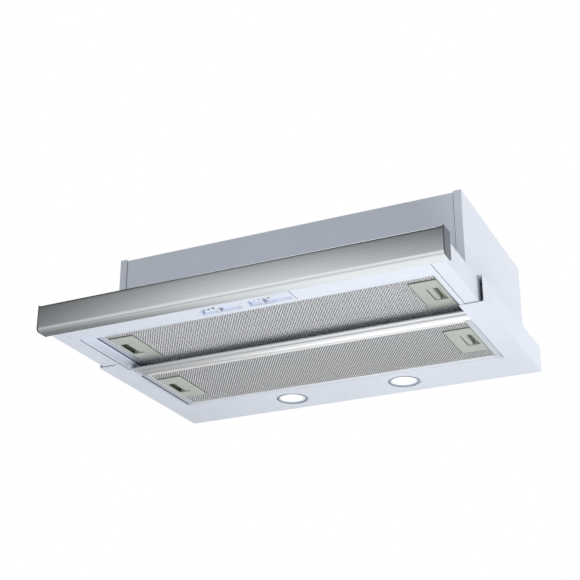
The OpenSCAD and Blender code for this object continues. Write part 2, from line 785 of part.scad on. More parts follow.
shelf_end = front_filter_y + 2 * sheet_t;     // rear edge of the shelf that the front filter rests on

// Flat face with an upright front and rear, and a shelf folded back from the rear one
module cross_panel() color("white") placed() difference() {
    union() {
        block([-rim_out, -pull_out, frame_z], [rim_out, cross_y1, frame_z + sheet_t]);
        block([-rim_out, -pull_out, frame_z], [rim_out, -pull_out + sheet_t, arm_top]);
        block([-rim_out, cross_y1 - sheet_t, frame_z], [rim_out, cross_y1, ledge_z]);
        block([-shelf_half, cross_y1 - sheet_t, ledge_z - sheet_t], [shelf_half, shelf_end, ledge_z]);
    }
    cut_x0 = insert_x - insert_w / 2 - insert_gap;
    cut_x1 = insert_x + insert_w / 2 + insert_gap;
    block([cut_x0, insert_y0 - insert_gap, frame_z - eps], [cut_x1, cross_y1 + eps, frame_z + sheet_t + eps]);
    block([cut_x0, cross_y1 - sheet_t - eps, frame_z - eps],
        [cut_x1, cross_y1 + eps, ceiling_z + ceiling_t + insert_gap]);
}

// Open channel: outer wall, bottom, front end and top, with the top reaching in over the rim
module arm(side) color("white") placed() on_side(side) difference() {
    union() {
        block([arm_in, -pull_out, frame_z], [arm_out, arm_reach, frame_z + sheet_t]);
        block([arm_out - sheet_t, -pull_out, frame_z], [arm_out, arm_reach, arm_top]);
        block([rim_in, -pull_out + sheet_t, arm_top - sheet_t], [arm_out, arm_reach, arm_top]);
        block([arm_in, -pull_out, frame_z], [arm_out, -pull_out + sheet_t, arm_top]);
    }
    for (p = cover_screws) screw_bore([p[0], p[1], arm_top - sheet_t], sheet_t);
}

// Flat strip with an upright wall and a narrow ledge along its top
module rim(side) color("white") placed() on_side(side) {
    block([rim_in, cross_y1, frame_z], [rim_out, arm_reach, frame_z + sheet_t]);
    block([rim_in, cross_y1, frame_z], [rim_in + sheet_t, arm_reach, ledge_z]);
    block([rim_in - rim_ledge, cross_y1, ledge_z - sheet_t], [rim_in + sheet_t, arm_reach, ledge_z]);
}

cover_reach = 16;        // how far the cover stays under the box when pulled out

module drawer_cover() color("white") placed() difference() {
    block([-arm_out + face, -pull_out, cover_z], [arm_out - face, cover_reach, cover_z + sheet_t]);
    for (p = cover_screws) screw_bore([p[0], p[1], cover_z], sheet_t);
}

// ---- Controls ----

// Outline of the pocket at x, from z0 to z1
module pocket_block(x, z0, z1, grow) {
    block([x - pocket_l / 2 - grow, pocket_y0 - grow, z0], [x + pocket_l / 2 + grow, pocket_y1 + grow, z1]);
}

// Slot that a knob's stem runs in, with play to each side
module stem_slot(x0, x1, z0, z1) {
    y = (pocket_y0 + pocket_y1) / 2;
    block([x0 - stem_w / 2 - face, y - stem_d / 2 - face, z0],
        [x1 + stem_w / 2 + face, y + stem_d / 2 + face, z1]);
}

module control_insert() color("whitesmoke") placed() difference() {
    union() {
        block([insert_x - insert_w / 2, insert_y0, frame_z],
            [insert_x + insert_w / 2, insert_y1, frame_z + plate_t]);
        for (x = [light_pocket_x, speed_pocket_x]) pocket_block(x, frame_z, ceiling_z + ceiling_t, ceiling_t);
    }
    for (x = [light_pocket_x, speed_pocket_x]) pocket_block(x, frame_z - eps, ceiling_z, 0);
    stem_slot(light_x - light_travel, light_x, ceiling_z - eps, ceiling_z + ceiling_t + eps);
    stem_slot(speed_x - speed_travel, speed_x + speed_travel, ceiling_z - eps, ceiling_z + ceiling_t + eps);
}

// Raised finger piece with a stem that reaches into its switch
module knob(x) {
    y = (pocket_y0 + pocket_y1) / 2;
    block([x - knob_w / 2, pocket_y0 + knob_play, frame_z + face],
        [x + knob_w / 2, pocket_y1 - knob_play, ceiling_z - face]);
    block([x - stem_w / 2, y - stem_d / 2, frame_z + face],
        [x + stem_w / 2, y + stem_d / 2, ceiling_z + ceiling_t + switch_wall]);
}

module light_knob() color("white") placed() knob(light_x);

module speed_knob() color("white") placed() knob(speed_x);

module slide_switch(x0, x1) difference() {
    z = ceiling_z + ceiling_t;
    block([x0 - switch_margin, pocket_y0 - 1, z], [x1 + switch_margin, pocket_y1, z + switch_h]);
    stem_slot(x0, x1, z - eps, z + switch_wall + face);
}

module slide_switches() color("dimgray") placed() {
    slide_switch(light_x - light_travel, light_x);
    slide_switch(speed_x - speed_travel, speed_x + speed_travel);
}

// ---- Fasteners ----

// Pan-head screw with its head on z = 0 and its shank below
module screw(shank) {
    cylinder(h = head_h, r = head_r);
    translate([0, 0, -shank]) cylinder(h = shank + eps, r = screw_r);
}

module housing_screws() color("silver") placed() {
    for (p = top_screws) translate([p[0], p[1], top_under + sheet_t]) screw(2 * sheet_t);
    for (p = back_screws) translate([p[0], box_back, p[1]]) rotate([90, 0, 0]) screw(2 * sheet_t - face);
    for (p = front_screws) translate([p[0], box_setback, p[1]]) rotate([90, 0, 0]) screw(2 * sheet_t);
}

module frame_screws() color("silver") placed()
    for (p = cover_screws) translate([p[0], p[1], cover_z + sheet_t]) screw(2 * sheet_t);

// ---- What is drawn ----

lower_tray();
side_panel("left");  // left_side_panel
side_panel("right");  // right_side_panel
front_panel();
back_panel();
top_panel();
duct_collar();
damper_pin();
front_damper_flap();
rear_damper_flap();
scroll_half_shell("left");  // scroll_left_half
scroll_half_shell("right");  // scroll_right_half
impeller_blades();
impeller_rings();
impeller_hub();
motor_shaft();
motor_case();
motor_stator();
motor_bracket();
run_capacitor();
terminal_box();
cable_gland();
lamp_driver();
lamp_ring("left");  // left_lamp_ring
lamp_lens("left");  // left_lamp_lens
lamp_body("left");  // left_lamp_body
lamp_ring("right");  // right_lamp_ring
lamp_lens("right");  // right_lamp_lens
lamp_body("right");  // right_lamp_body
runner("left");  // left_runner
runner("right");  // right_runner
filter_rail();
filter_frame(rear_filter_y, rear_filter_z, true);  // rear_filter_frame
filter_mesh(rear_filter_y, rear_filter_z);  // rear_filter_mesh
latch_plate("left", rear_filter_y, rear_filter_z);  // rear_left_latch_plate
latch_plate("right", rear_filter_y, rear_filter_z);  // rear_right_latch_plate
latch("left", rear_filter_y, rear_filter_z);  // rear_left_latch
latch("right", rear_filter_y, rear_filter_z);  // rear_right_latch
fascia_bar();
end_cap("left");  // left_end_cap
end_cap("right");  // right_end_cap
cross_panel();
arm("left");  // left_arm
arm("right");  // right_arm
rim("left");  // left_rim
rim("right");  // right_rim
glides();
drawer_cover();
control_insert();
light_knob();
speed_knob();
slide_switches();
filter_frame(front_filter_y, front_filter_z, false);  // front_filter_frame
filter_mesh(front_filter_y, front_filter_z);  // front_filter_mesh
latch_plate("left", front_filter_y, front_filter_z);  // front_left_latch_plate
latch_plate("right", front_filter_y, front_filter_z);  // front_right_latch_plate
latch("left", front_filter_y, front_filter_z);  // front_left_latch
latch("right", front_filter_y, front_filter_z);  // front_right_latch
housing_screws();
frame_screws();
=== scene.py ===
import json
import math

import bpy
import numpy as np
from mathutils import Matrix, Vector


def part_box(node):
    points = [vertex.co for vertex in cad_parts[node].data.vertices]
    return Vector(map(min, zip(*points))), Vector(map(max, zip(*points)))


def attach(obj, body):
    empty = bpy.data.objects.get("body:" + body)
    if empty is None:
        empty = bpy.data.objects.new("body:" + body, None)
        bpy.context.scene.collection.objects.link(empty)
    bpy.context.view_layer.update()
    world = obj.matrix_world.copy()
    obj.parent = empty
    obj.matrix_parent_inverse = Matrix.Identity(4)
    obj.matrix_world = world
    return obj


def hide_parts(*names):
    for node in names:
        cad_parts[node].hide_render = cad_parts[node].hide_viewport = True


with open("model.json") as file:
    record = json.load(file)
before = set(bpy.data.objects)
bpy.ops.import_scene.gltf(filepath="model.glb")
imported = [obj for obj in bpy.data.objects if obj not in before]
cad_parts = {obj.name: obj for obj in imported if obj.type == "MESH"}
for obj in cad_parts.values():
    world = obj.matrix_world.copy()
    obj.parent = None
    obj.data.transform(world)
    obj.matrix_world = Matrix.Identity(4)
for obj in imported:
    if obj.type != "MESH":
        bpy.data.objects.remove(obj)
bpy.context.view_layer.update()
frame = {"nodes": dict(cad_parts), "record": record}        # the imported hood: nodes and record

nodes = frame["nodes"]
mm = 0.001
print("frame:", len(nodes), "nodes")


# ---- Camera, floor and light ----

photoView = {
    "place": (0.72469, -1.58710, -0.67885),   # metres
    "turn": 24.979,                           # degrees to the left of +Y
    "rise": 24.031,                           # degrees above the horizon
    "lens": 79.82,                            # mm on a sensor 36 mm wide
}


def setCamera(view):
    turn, rise = math.radians(view["turn"]), math.radians(view["rise"])
    ahead = Vector((-math.sin(turn) * math.cos(rise), math.cos(turn) * math.cos(rise), math.sin(rise)))
    data = bpy.data.cameras.new("photo_camera")
    data.lens = view["lens"]
    data.sensor_width = 36
    data.clip_start, data.clip_end = 0.05, 60
    camera = bpy.data.objects.new("photo_camera", data)
    camera.location = view["place"]
    camera.rotation_mode = "QUATERNION"
    camera.rotation_quaternion = ahead.to_track_quat("-Z", "Y")
    bpy.context.scene.collection.objects.link(camera)
    bpy.context.scene.camera = camera


lampSet = {
    # name: place, point it faces, size in metres, power in watts
    "below": ((0.45, -0.75, -1.08), (0.1, -0.1, 0.05), 1.1, 12.1),
    "right": ((1.7, 0.5, 0.15), (0.2, 0.1, 0.1), 1.3, 11.5),
    "front": ((-0.5, -2.3, 0.5), (0, 0, 0.1), 1.6, 3.1),
    "above": ((-0.4, 0.3, 2.0), (0, 0, 0.1), 1.6, 12.0),
}


# Round soft lamps; only two of them show in mirrors
def setLamps(lamps):
    for name, (place, aim, size, power) in lamps.items():
        data = bpy.data.lights.new("lamp_" + name, "AREA")
        data.shape = "DISK"
        data.size = size
        data.energy = power
        lamp = bpy.data.objects.new("lamp_" + name, data)
        lamp.location = place
        lamp.rotation_mode = "QUATERNION"
        lamp.rotation_quaternion = (Vector(aim) - Vector(place)).to_track_quat("-Z", "Y")
        lamp.visible_camera = False
        lamp.visible_glossy = name in ("right", "above")
        bpy.context.scene.collection.objects.link(lamp)


# ---- Shader sheets ----

class Wire:
    # An output socket; + - * / and ** with it add Math nodes

    def __init__(self, sheet, socket):
        self.sheet, self.socket = sheet, socket

    def do(self, operation, *values):
        return self.sheet.node("ShaderNodeMath", {"operation": operation}, dict(enumerate((self,) + values)))

    def __add__(self, other): return self.do("ADD", other)
    def __sub__(self, other): return self.do("SUBTRACT", other)
    def __mul__(self, other): return self.do("MULTIPLY", other)
    def __truediv__(self, other): return self.do("DIVIDE", other)
    def __pow__(self, other): return self.do("POWER", other)
    def __rsub__(self, other): return (self * -1) + other
    def __rtruediv__(self, other): return (self ** -1) * other
    __radd__, __rmul__ = __add__, __mul__

    def within(self, low, high): return self.do("MAXIMUM", low).do("MINIMUM", high)

    # 1 at the middle, falling to half at the spread to each side: 1 / (1 + ((x - middle) / spread)^2)
    def hump(self, middle, spread): return 1 / (1 + ((self - middle) / spread) ** 2)

    # 0 below low, 1 above high and a smooth step between them
    def step(self, low, high):
        return self.sheet.node("ShaderNodeMapRange", {"interpolation_type": "SMOOTHSTEP"},
                               {"Value": self, "From Min": low, "From Max": high})


class Sheet:
    # One material's nodes, or the world's

    def __init__(self, name, tree=None):
        if tree is None:
            self.material = bpy.data.materials.new(name)
            self.material.use_nodes = True
            tree = self.material.node_tree
        self.tree = tree
        self.tree.nodes.clear()
        self.place = self.node("ShaderNodeTexCoord", out="Object")

    def node(self, kind, settings=None, inputs=None, out=0):
        made = self.tree.nodes.new(kind)
        for key, value in (settings or {}).items():
            setattr(made, key, value)
        for key, value in (inputs or {}).items():
            if isinstance(value, Wire):
                self.tree.links.new(value.socket, made.inputs[key])
            elif value is not None:
                made.inputs[key].default_value = value
        return None if out is None else Wire(self, made.outputs[out])

    def scaled(self, *scale):
        return self.node("ShaderNodeMapping", None, {"Vector": self.place, "Scale": scale})

    # Noise from 0 to 1; scale is in grains per metre along each axis
    def noise(self, scale, detail=3, rough=0.5, warp=0.0):
        at = self.scaled(*scale) if isinstance(scale, tuple) else self.place
        return self.node("ShaderNodeTexNoise", None, {
            "Vector": at, "Scale": 1 if isinstance(scale, tuple) else scale,
            "Detail": detail, "Roughness": rough, "Distortion": warp})

    # Colour between two; sockets 6 and 7 are the colours and 2 is the result
    def mix(self, share, first, second):
        return self.node("ShaderNodeMix", {"data_type": "RGBA"}, {
            "Factor": share, 6: first if isinstance(first, Wire) else (*first, 1),
            7: second if isinstance(second, Wire) else (*second, 1)}, out=2)

    def bump(self, height, depth, strength):
        return self.node("ShaderNodeBump", None, {"Height": height, "Distance": depth, "Strength": strength})

    # Ends the material in a Principled BSDF with the given sockets
    def finish(self, **sockets):
        names = {"colour": "Base Color", "rough": "Roughness", "metal": "Metallic", "normal": "Normal",
                 "glow": "Emission Color", "glowPower": "Emission Strength", "specular": "Specular IOR Level"}
        inputs = {}
        for key, value in sockets.items():
            inputs[names[key]] = (*value, 1) if isinstance(value, tuple) else value
        shader = self.node("ShaderNodeBsdfPrincipled", None, inputs)
        self.node("ShaderNodeOutputMaterial", None, {"Surface": shader}, out=None)
        return self.material


# ---- Finishes ----

paint = {"colour": (0.80, 0.855, 0.955), "rough": 0.34, "grain": 900.0, "depth": 0.00006}


# Powder coat: base colour, faintly clouded, with an orange-peel bump from fine noise
def paintFinish(name, colour, cloud=0.02):
    s = Sheet(name)
    clouds = s.noise(9.0, 4)
    peel = s.noise(paint["grain"], 2)
    shade = s.mix(clouds.step(0.35, 0.75), colour, tuple(c * (1 - cloud * 2) for c in colour))
    return s.finish(colour=shade, rough=paint["rough"] + clouds * 0.08 + peel * 0.03, specular=0.45,
                    normal=s.bump(peel, paint["depth"], 0.5))


brush = {
    "colour": (0.69, 0.725, 0.745),
    "dark": (0.62, 0.655, 0.675),
    "rough": 0.13,
    "along": 3.0,         # grains per metre along X, so that they draw out into streaks
    "across": 3600.0,
}


# Brushed metal: streaks are noise stretched along X; they tint, roughen and scratch the surface
def brushedFinish(name, light, dark, rough, along, across):
    s = Sheet(name)
    fine = s.noise((along, across, across), 3, 0.6)
    wide = s.noise((along * 0.6, across * 0.3, across * 0.3), 2)
    smear = s.noise(6.0, 3, 0.55, 0.4)
    tint = s.mix((fine * 0.75 + wide * 0.25).step(0.25, 0.75), dark, light)
    tint = s.mix(smear.step(0.35, 0.7) * 0.25, tint, dark)
    return s.finish(colour=tint, metal=1.0, rough=rough + fine * 0.08 + smear * 0.06,
                    normal=s.bump(fine, 0.00004, 0.35))


# Moulded plastic: even colour with a fine spark-eroded grain
def plasticFinish(name, colour, rough=0.5, grain=1400.0, depth=0.00005, metal=0.0):
    s = Sheet(name)
    fine = s.noise(grain, 2)
    broad = s.noise(25.0, 3)
    shade = s.mix(broad.step(0.3, 0.8), colour, tuple(c * 0.93 for c in colour))
    return s.finish(colour=shade, rough=rough + fine * 0.1 + broad * 0.05, metal=metal,
                    normal=s.bump(fine, depth, 0.6))


# Zinc-plated steel: spangles from Voronoi cells under fine noise
def zincFinish(name, colour=(0.55, 0.56, 0.57), cell=160.0, rough=0.38, metal=1.0):
    s = Sheet(name)
    cells = s.node("ShaderNodeTexVoronoi", None, {"Vector": s.place, "Scale": cell}, out="Color")
    spangle = s.node("ShaderNodeSeparateColor", None, {"Color": cells})
    fine = s.noise(700.0, 3)
    tint = s.mix(spangle * 0.35, colour, tuple(c * 0.72 for c in colour))
    return s.finish(colour=tint, metal=metal, rough=rough + spangle * 0.14 + fine * 0.06,
                    normal=s.bump(fine, 0.00003, 0.4))


# Folded aluminium of the filters' frames: bright lips across and greyer brims along the sides, parted by a
# smooth step in |x|. The brims' grey, darker at the left than at the right, is painted shade
def frameFinish(name, plan):
    s = Sheet(name)
    x = s.node("ShaderNodeSeparateXYZ", None, {"Vector": s.place}, out="X")
    fine = s.noise((4.0, 900.0, 900.0), 3, 0.6)
    brim = s.mix(x.step(-0.1, 0.1), plan["left"], plan["right"])
    lips = s.mix(fine.step(0.3, 0.7), plan["dark"], plan["light"])
    edge = x.do("ABSOLUTE").step(plan["from"] * mm, (plan["from"] + plan["blend"]) * mm)
    return s.finish(colour=s.mix(edge, lips, brim), metal=0.35, rough=0.32 + fine * 0.1,
                    normal=s.bump(fine, 0.00003, 0.4))


framePlan = {
    "light": (0.93, 0.94, 0.95),
    "dark": (0.84, 0.85, 0.87),
    # the brims' colours are painted shade, darker at the left
    "left": (0.55, 0.585, 0.65),      # the brims
    "right": (0.58, 0.625, 0.68),
    "from": 251.4,                    # where the brims start, mm from the middle
    "blend": 0.8,
}

finishes = {
    "white_paint": paintFinish("white_paint", paint["colour"]),
    "stainless": brushedFinish("brushed_stainless", brush["colour"], brush["dark"], brush["rough"],
                               brush["along"], brush["across"]),
    "cap_plastic": plasticFinish("cap_plastic", (0.1, 0.115, 0.145), 0.42),
    "duct_plastic": plasticFinish("duct_plastic", (0.025, 0.027, 0.03), 0.48, 900.0, 0.00008),
    "zinc_steel": zincFinish("zinc_steel"),
    "shaft_steel": brushedFinish("turned_steel", (0.6, 0.6, 0.6), (0.45, 0.45, 0.46), 0.22, 900.0, 60.0),
    "fan_plastic": plasticFinish("fan_plastic", (0.035, 0.038, 0.042), 0.45),
    "stator_iron": plasticFinish("stator_iron", (0.2, 0.11, 0.06), 0.4, 500.0, 0.0002, 0.6),
    "electrical_plastic": plasticFinish("electrical_plastic", (0.02, 0.02, 0.022), 0.5),
    "gland_plastic": plasticFinish("gland_plastic", (0.09, 0.095, 0.1), 0.5),
    "capacitor_plastic": plasticFinish("capacitor_plastic", (0.72, 0.7, 0.62), 0.3),
    "driver_plastic": plasticFinish("driver_plastic", (0.7, 0.7, 0.7), 0.45),
    "lamp_chrome": brushedFinish("lamp_chrome", (0.26, 0.285, 0.33), (0.18, 0.2, 0.24), 0.12, 60.0, 60.0),
    "lamp_lens": plasticFinish("lamp_lens", (0.9, 0.92, 0.95), 0.35),
    "lamp_alloy": zincFinish("lamp_alloy", (0.66, 0.67, 0.68), 60.0, 0.3),
    "rail_aluminium": brushedFinish("rail_aluminium", (0.98, 0.985, 0.99), (0.9, 0.905, 0.91), 0.24, 2.0,
                                    1500.0),
    "filter_aluminium": frameFinish("filter_aluminium", framePlan),
    "mesh_aluminium": zincFinish("mesh_aluminium", (0.62, 0.63, 0.62), 300.0, 0.32),
    "latch_plastic": plasticFinish("latch_plastic", (0.53, 0.572, 0.525), 0.5),
    "control_plastic": plasticFinish("control_plastic", (0.79, 0.84, 0.95), 0.38),
    "glide_nylon": plasticFinish("glide_nylon", (0.75, 0.73, 0.66), 0.45),
}

# The runners are coloured near black: painted shade, so that the slot they run in reads dark
runnerShadeFinish = zincFinish("runner_zinc_painted_shade", (0.05, 0.055, 0.075), 160.0, 0.5)
for row in frame["record"]["subparts"]:
    mesh = nodes[row["node"]].data
    mesh.materials.clear()
    mesh.materials.append(runnerShadeFinish if row["node"].endswith("_runner") else finishes[row["material_slot"]])
print("finishes:", len(finishes))


# ---- Shapes from arrays ----

# One part of a piece: corners n x 3 in millimetres, faces as arrays of corner numbers; turned outwards by the
# sign of its volume, the sum of a . (b x c) over its triangles
def closed(corners, faces):
    total = 0.0
    for rows in faces:
        for second in range(1, rows.shape[1] - 1):
            a, b, c = (corners[rows[:, k]] for k in (0, second, second + 1))
            total += np.einsum("ij,ij->", a, np.cross(b, c))
    return corners, [rows[:, ::-1] for rows in faces] if total < 0 else faces


# Skin over rings, an array k x n x 3: quads between neighbours, and a face over each end ring or, if
# looped, quads from the last ring back to the first
def skin(rings, looped=False):
    count, around = rings.shape[:2]
    ring = np.arange(count if looped else count - 1)[:, None] * around
    here = np.arange(around)[None, :]
    onwards = (here + 1) % around
    above = (ring + around) % (count * around)
    quads = np.stack((ring + here, ring + onwards, above + onwards, above + here), axis=-1).reshape(-1, 4)
    faces = [quads]
    if not looped:
        faces += [np.arange(around)[None, ::-1], (np.arange(around) + (count - 1) * around)[None, :]]
    return closed(rings.reshape(-1, 3), faces)


# Rounded rectangle about a middle: each corner is a quarter circle in equal steps
def roundedLoop(middle, size, radius, steps=5):
    turn = np.linspace(0, np.pi / 2, steps)
    loops = []
    for quarter, (sx, sy) in enumerate(((1, 1), (-1, 1), (-1, -1), (1, -1))):
        angle = turn + quarter * np.pi / 2
        loops.append(np.stack((middle[0] + sx * (size[0] / 2 - radius) + radius * np.cos(angle),
                               middle[1] + sy * (size[1] / 2 - radius) + radius * np.sin(angle)), axis=-1))
    return np.concatenate(loops)


# Loop at each of several heights; levels holds (height, inset) pairs
def stack(middle, size, radius, levels, steps=5):
    return np.array([np.column_stack((roundedLoop(middle, (size[0] - 2 * inset, size[1] - 2 * inset),
                                                  max(radius - inset, 0.02), steps),
                                      np.full(4 * steps, height))) for height, inset in levels])


# Heights and insets of a quarter-round edge of the given size at both ends
def edges(low, high, size, steps=3):
    angle = np.linspace(0, np.pi / 2, steps)
    foot = [(low + size * (1 - math.sin(a)), size * (1 - math.cos(a))) for a in angle[::-1]]
    return foot + [(high - size * (1 - math.sin(a)), size * (1 - math.cos(a))) for a in angle]


# Block with rounded upright edges and softened rims
def softBlock(low, high, radius, rim=0.3, steps=5):
    middle = ((low[0] + high[0]) / 2, (low[1] + high[1]) / 2)
    size = (high[0] - low[0], high[1] - low[1])
    return skin(stack(middle, size, radius, edges(low[2], high[2], rim), steps))


# Closed profile in (y, z) drawn out along X
def drawn(profile, x0, x1):
    profile = np.array(profile)
    return skin(np.array([np.column_stack((np.full(len(profile), x), profile)) for x in (x0, x1)]))


# Profile in (radius, height) turned about an upright axis: looped where it doesn't meet the axis
def turned(profile, middle, around=48, looped=True):
    angle = np.arange(around) * 2 * np.pi / around
    rings = np.array([np.column_stack((middle[0] + r * np.cos(angle), middle[1] + r * np.sin(angle),
                                       np.full(around, z))) for r, z in profile])
    return skin(rings, looped)


# One object from parts ((corners, faces), material number), riding on a body, in millimetres
def addPiece(name, body, parts, materials, replaced=(), smooth=35):
    starts = np.cumsum([0] + [len(shape[0]) for shape, kind in parts])
    loops, sizes, kinds = [], [], []
    for (shape, kind), start in zip(parts, starts):
        for rows in shape[1]:
            loops.append((rows + start).ravel())
            sizes.append(np.full(len(rows), rows.shape[1]))
            kinds.append(np.full(len(rows), kind))
    corners = np.concatenate([shape[0] for shape, kind in parts]) * mm
    loops, sizes, kinds = (np.concatenate(rows).astype(np.int32) for rows in (loops, sizes, kinds))
    mesh = bpy.data.meshes.new(name)
    mesh.vertices.add(len(corners))
    mesh.vertices.foreach_set("co", corners.ravel())
    mesh.loops.add(len(loops))
    mesh.loops.foreach_set("vertex_index", loops)
    mesh.polygons.add(len(sizes))
    mesh.polygons.foreach_set("loop_start", np.concatenate(([0], np.cumsum(sizes)[:-1])).astype(np.int32))
    mesh.polygons.foreach_set("material_index", kinds)
    mesh.update(calc_edges=True)
    if smooth:
        mesh.shade_smooth()
        mesh.set_sharp_from_angle(angle=math.radians(smooth))
    for material in materials:
        mesh.materials.append(material)
    made = bpy.data.objects.new(name, mesh)
    bpy.context.scene.collection.objects.link(made)
    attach(made, body)
    if replaced:
        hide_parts(*replaced)
    return made


def boxOf(node):
    return [np.array(corner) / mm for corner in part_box(node)]


# ---- Filters ----

filterPlan = {
    "pitch": (4.0, 6.25),                     # one cell of the lower layer across and along, mm
    "strand": {"front": 2.2, "rear": 1.75},   # width of its strands
    "upperPitch": (8.5, 7.25),                # the same for the upper layer
    "upperStrand": 2.4,
    "upperRise": 1.6,                         # height of the upper layer over the lower one
    "bedRise": 3.6,                           # height of the dark bed over the lower layer
    "thick": 0.5,
    "tilt": 0.45,                             # rise of a strand across its width
    "overlap": 0.18,                          # turns reach this share of a strand less than a quarter cell
    "margin": 0.2,                            # from the pack's front and rear edge to the ribbons
    "side": 0.6,                              # and from its sides
    "cup": (32.5, 28.0),                      # depth from the side and half length of a latch's cup
}


# Expanded metal: zigzag ribbons along X whose turns touch the next ribbon's. A ribbon's middle line is
# y = y0 + (row + 1/2) * along / 2 + (-1)^(k + row + first) * reach at x = x0 + k * across / 2, where pitch is
# (across, along); its section is a strip tilted across its width
def ribbons(x0, x1, rows, y0, z0, pitch, strand, plan, first):
    thick, tilt = plan["thick"], plan["tilt"]
    half = pitch[0] / 2
    count = int((x1 - x0) / half) + 1
    k = np.arange(count)
    rows = np.asarray(rows)
    reach = pitch[1] / 4 - strand * plan["overlap"]
    sign = np.where((k[None, :] + rows[:, None] + first) % 2 == 0, 1.0, -1.0)
    middle = y0 + (rows[:, None] + 0.5) * pitch[1] / 2 + sign * reach
    across = strand / 2 * math.hypot(half, 2 * reach) / half
    section = np.array(((-1, 0), (1, 0), (1, 1), (-1, 1)), dtype=float)
    x = np.broadcast_to((x0 + k * half)[None, :, None], (len(rows), count, 4))
    y = middle[:, :, None] + section[None, None, :, 0] * across
    z = z0 + section[None, None, :, 0] * strand / 2 * tilt + section[None, None, :, 1] * thick
    z = np.broadcast_to(z + strand / 2 * abs(tilt), y.shape)
    corners = np.stack((x, y, z), axis=-1).reshape(-1, 3)
    base = (np.arange(len(rows))[:, None] * count + np.arange(count - 1)[None, :])[..., None] * 4
    side = np.arange(4)[None, None, :]
    onwards = (side + 1) % 4
    quads = np.stack((base + side, base + onwards, base + 4 + onwards, base + 4 + side), axis=-1)
    start = np.arange(len(rows))[:, None] * count * 4 + np.arange(4)[None, ::-1]
    end = (np.arange(len(rows))[:, None] * count + count - 1) * 4 + np.arange(4)[None, :]
    return closed(corners, [quads.reshape(-1, 4), start, end])


# Two layers of ribbons under a dark bed, whose near black is painted shade for the inside of the pack. All
# three are shorter beside the latches' cups: a ribbon where its middle is nearer to the cups' middle than
# their half length and a third of a cell
def addFilterMesh(row, body, plan, materials):
    low, high = boxOf(row + "_filter_mesh")
    plate = boxOf(row + "_left_latch_plate")
    z0 = low[2] + 0.05
    middle = (plate[0][1] + plate[1][1]) / 2
    edge = high[0] - plan["side"]
    shoulder = high[0] - plan["cup"][0]
    start = low[1] + plan["margin"]
    parts = []
    for layer, (pitch, strand, height) in enumerate((
            (plan["pitch"], plan["strand"][row], z0),
            (plan["upperPitch"], plan["upperStrand"], z0 + plan["upperRise"]))):
        rows = np.arange(int((high[1] - low[1] - 2 * plan["margin"]) / (pitch[1] / 2)))
        centre = start + (rows + 0.5) * pitch[1] / 2
        cut = np.abs(centre - middle) < plan["cup"][1] + pitch[1] / 3
        for some, x in ((rows[~cut], edge), (rows[cut], shoulder)):
            x = math.floor(x / pitch[0]) * pitch[0]
            parts.append((ribbons(-x, x, some, start, height, pitch, strand, plan, layer), layer))
    ends = (middle - plan["cup"][1] - 1, middle + plan["cup"][1] + 1)
    for y0, y1, x in ((low[1], ends[0], edge), (*ends, shoulder - 3), (ends[1], high[1], edge)):
        parts.append((softBlock((-x, y0 + 0.1, z0 + plan["bedRise"]), (x, y1 - 0.1, high[2] - 0.2),
                                0.3, 0.1, 2), 2))
    return addPiece(row + "_filter_layers", body, parts, materials, (row + "_filter_mesh",),
                    smooth=0)


strandFinish = zincFinish("expanded_aluminium", (0.965, 0.975, 1.0), 420.0, 0.34, 0.05)
# The rear filter's upper layer is near black: painted shade; the front one keeps its aluminium grey
underFinish = {"front": zincFinish("second_layer_front", (0.82, 0.83, 0.87), 300.0, 0.42, 0.2),
               "rear": zincFinish("second_layer_rear_painted_shade", (0.11, 0.115, 0.12), 300.0, 0.42, 0.3)}
bedShadeFinish = plasticFinish("filter_bed_painted_shade", (0.03, 0.033, 0.032), 0.6, 900.0, 0.0002)
for row, body in (("front", "sliding_frame"), ("rear", "housing")):
    addFilterMesh(row, body, filterPlan, (strandFinish, underFinish[row], bedShadeFinish))
print("filter meshes: done")


# ---- Rail between the filters ----

railPlan = {
    # underside from front to rear as (share of the depth, height above the underside in mm)
    "under": ((0, 1.0), (0.02, 0.5), (0.15, 0.4), (0.17, 0.9), (0.19, 1.9),
              (0.4, 1.5), (0.42, 1.5), (0.42, 1.8), (0.98, 1.8), (1, 1.9)),
    "wall": 2.0,
    "floor": 2.5,
    "band": (0.42, 0.995),    # shares of the depth that the wide band spans
    "nose": 0.15,             # share of the depth that the front strip ends at
    "ridge": 0.36,            # share of the band before its bright ridge
    "end": 1.2,               # the section stops short of the rail's ends
    "tab": 1.5,               # thickness of the tab at each end
}


# An L section drawn along X, with three soft strips on its underside and a tab at each end
def addRail(plan):
    low, high = boxOf("filter_rail")
    depth = high[1] - low[1]
    reach = high[0] - plan["end"]
    under = [(low[1] + share * depth, low[2] + rise) for share, rise in plan["under"]]
    wall, floor = high[1] - plan["wall"], low[2] + plan["floor"]
    inner = [(high[1], high[2]), (wall, high[2]), (wall, floor), (low[1], floor)]
    parts = [(drawn(under + inner, -reach, reach), 1)]
    y0, y1 = (low[1] + share * depth for share in plan["band"])
    ridge = y0 + (y1 - y0) * plan["ridge"]
    # how far each strip passes the section's ends, its front and rear, heights, corner, rim and finish
    for past, front, rear, foot, top, corner, rim, kind in (
            (0.5, y0, ridge, 0.25, 2.4, 1.2, 0.5, 2),
            (0.5, ridge - 0.8, y1, 0, 2.4, 1.2, 0.9, 0),
            (0.3, low[1] + 0.3, low[1] + plan["nose"] * depth, 0.1, 2.0, 1.5, 0.7, 2)):
        parts.append((softBlock((-reach - past, front, low[2] + foot), (reach + past, rear, low[2] + top),
                                corner, rim), kind))
    for side in (-1, 1):
        x = sorted((side * (high[0] - plan["tab"]), side * high[0]))
        parts.append((softBlock((x[0], low[1] + 3, low[2] + 2.0), (x[1], high[1] - 3, high[2]),
                                0.4, 0.2, 3), 1))
    return addPiece("bright_rail", "housing", parts,
                    (finishes["rail_aluminium"], railShadedBody, railShadedBands), ("filter_rail",))


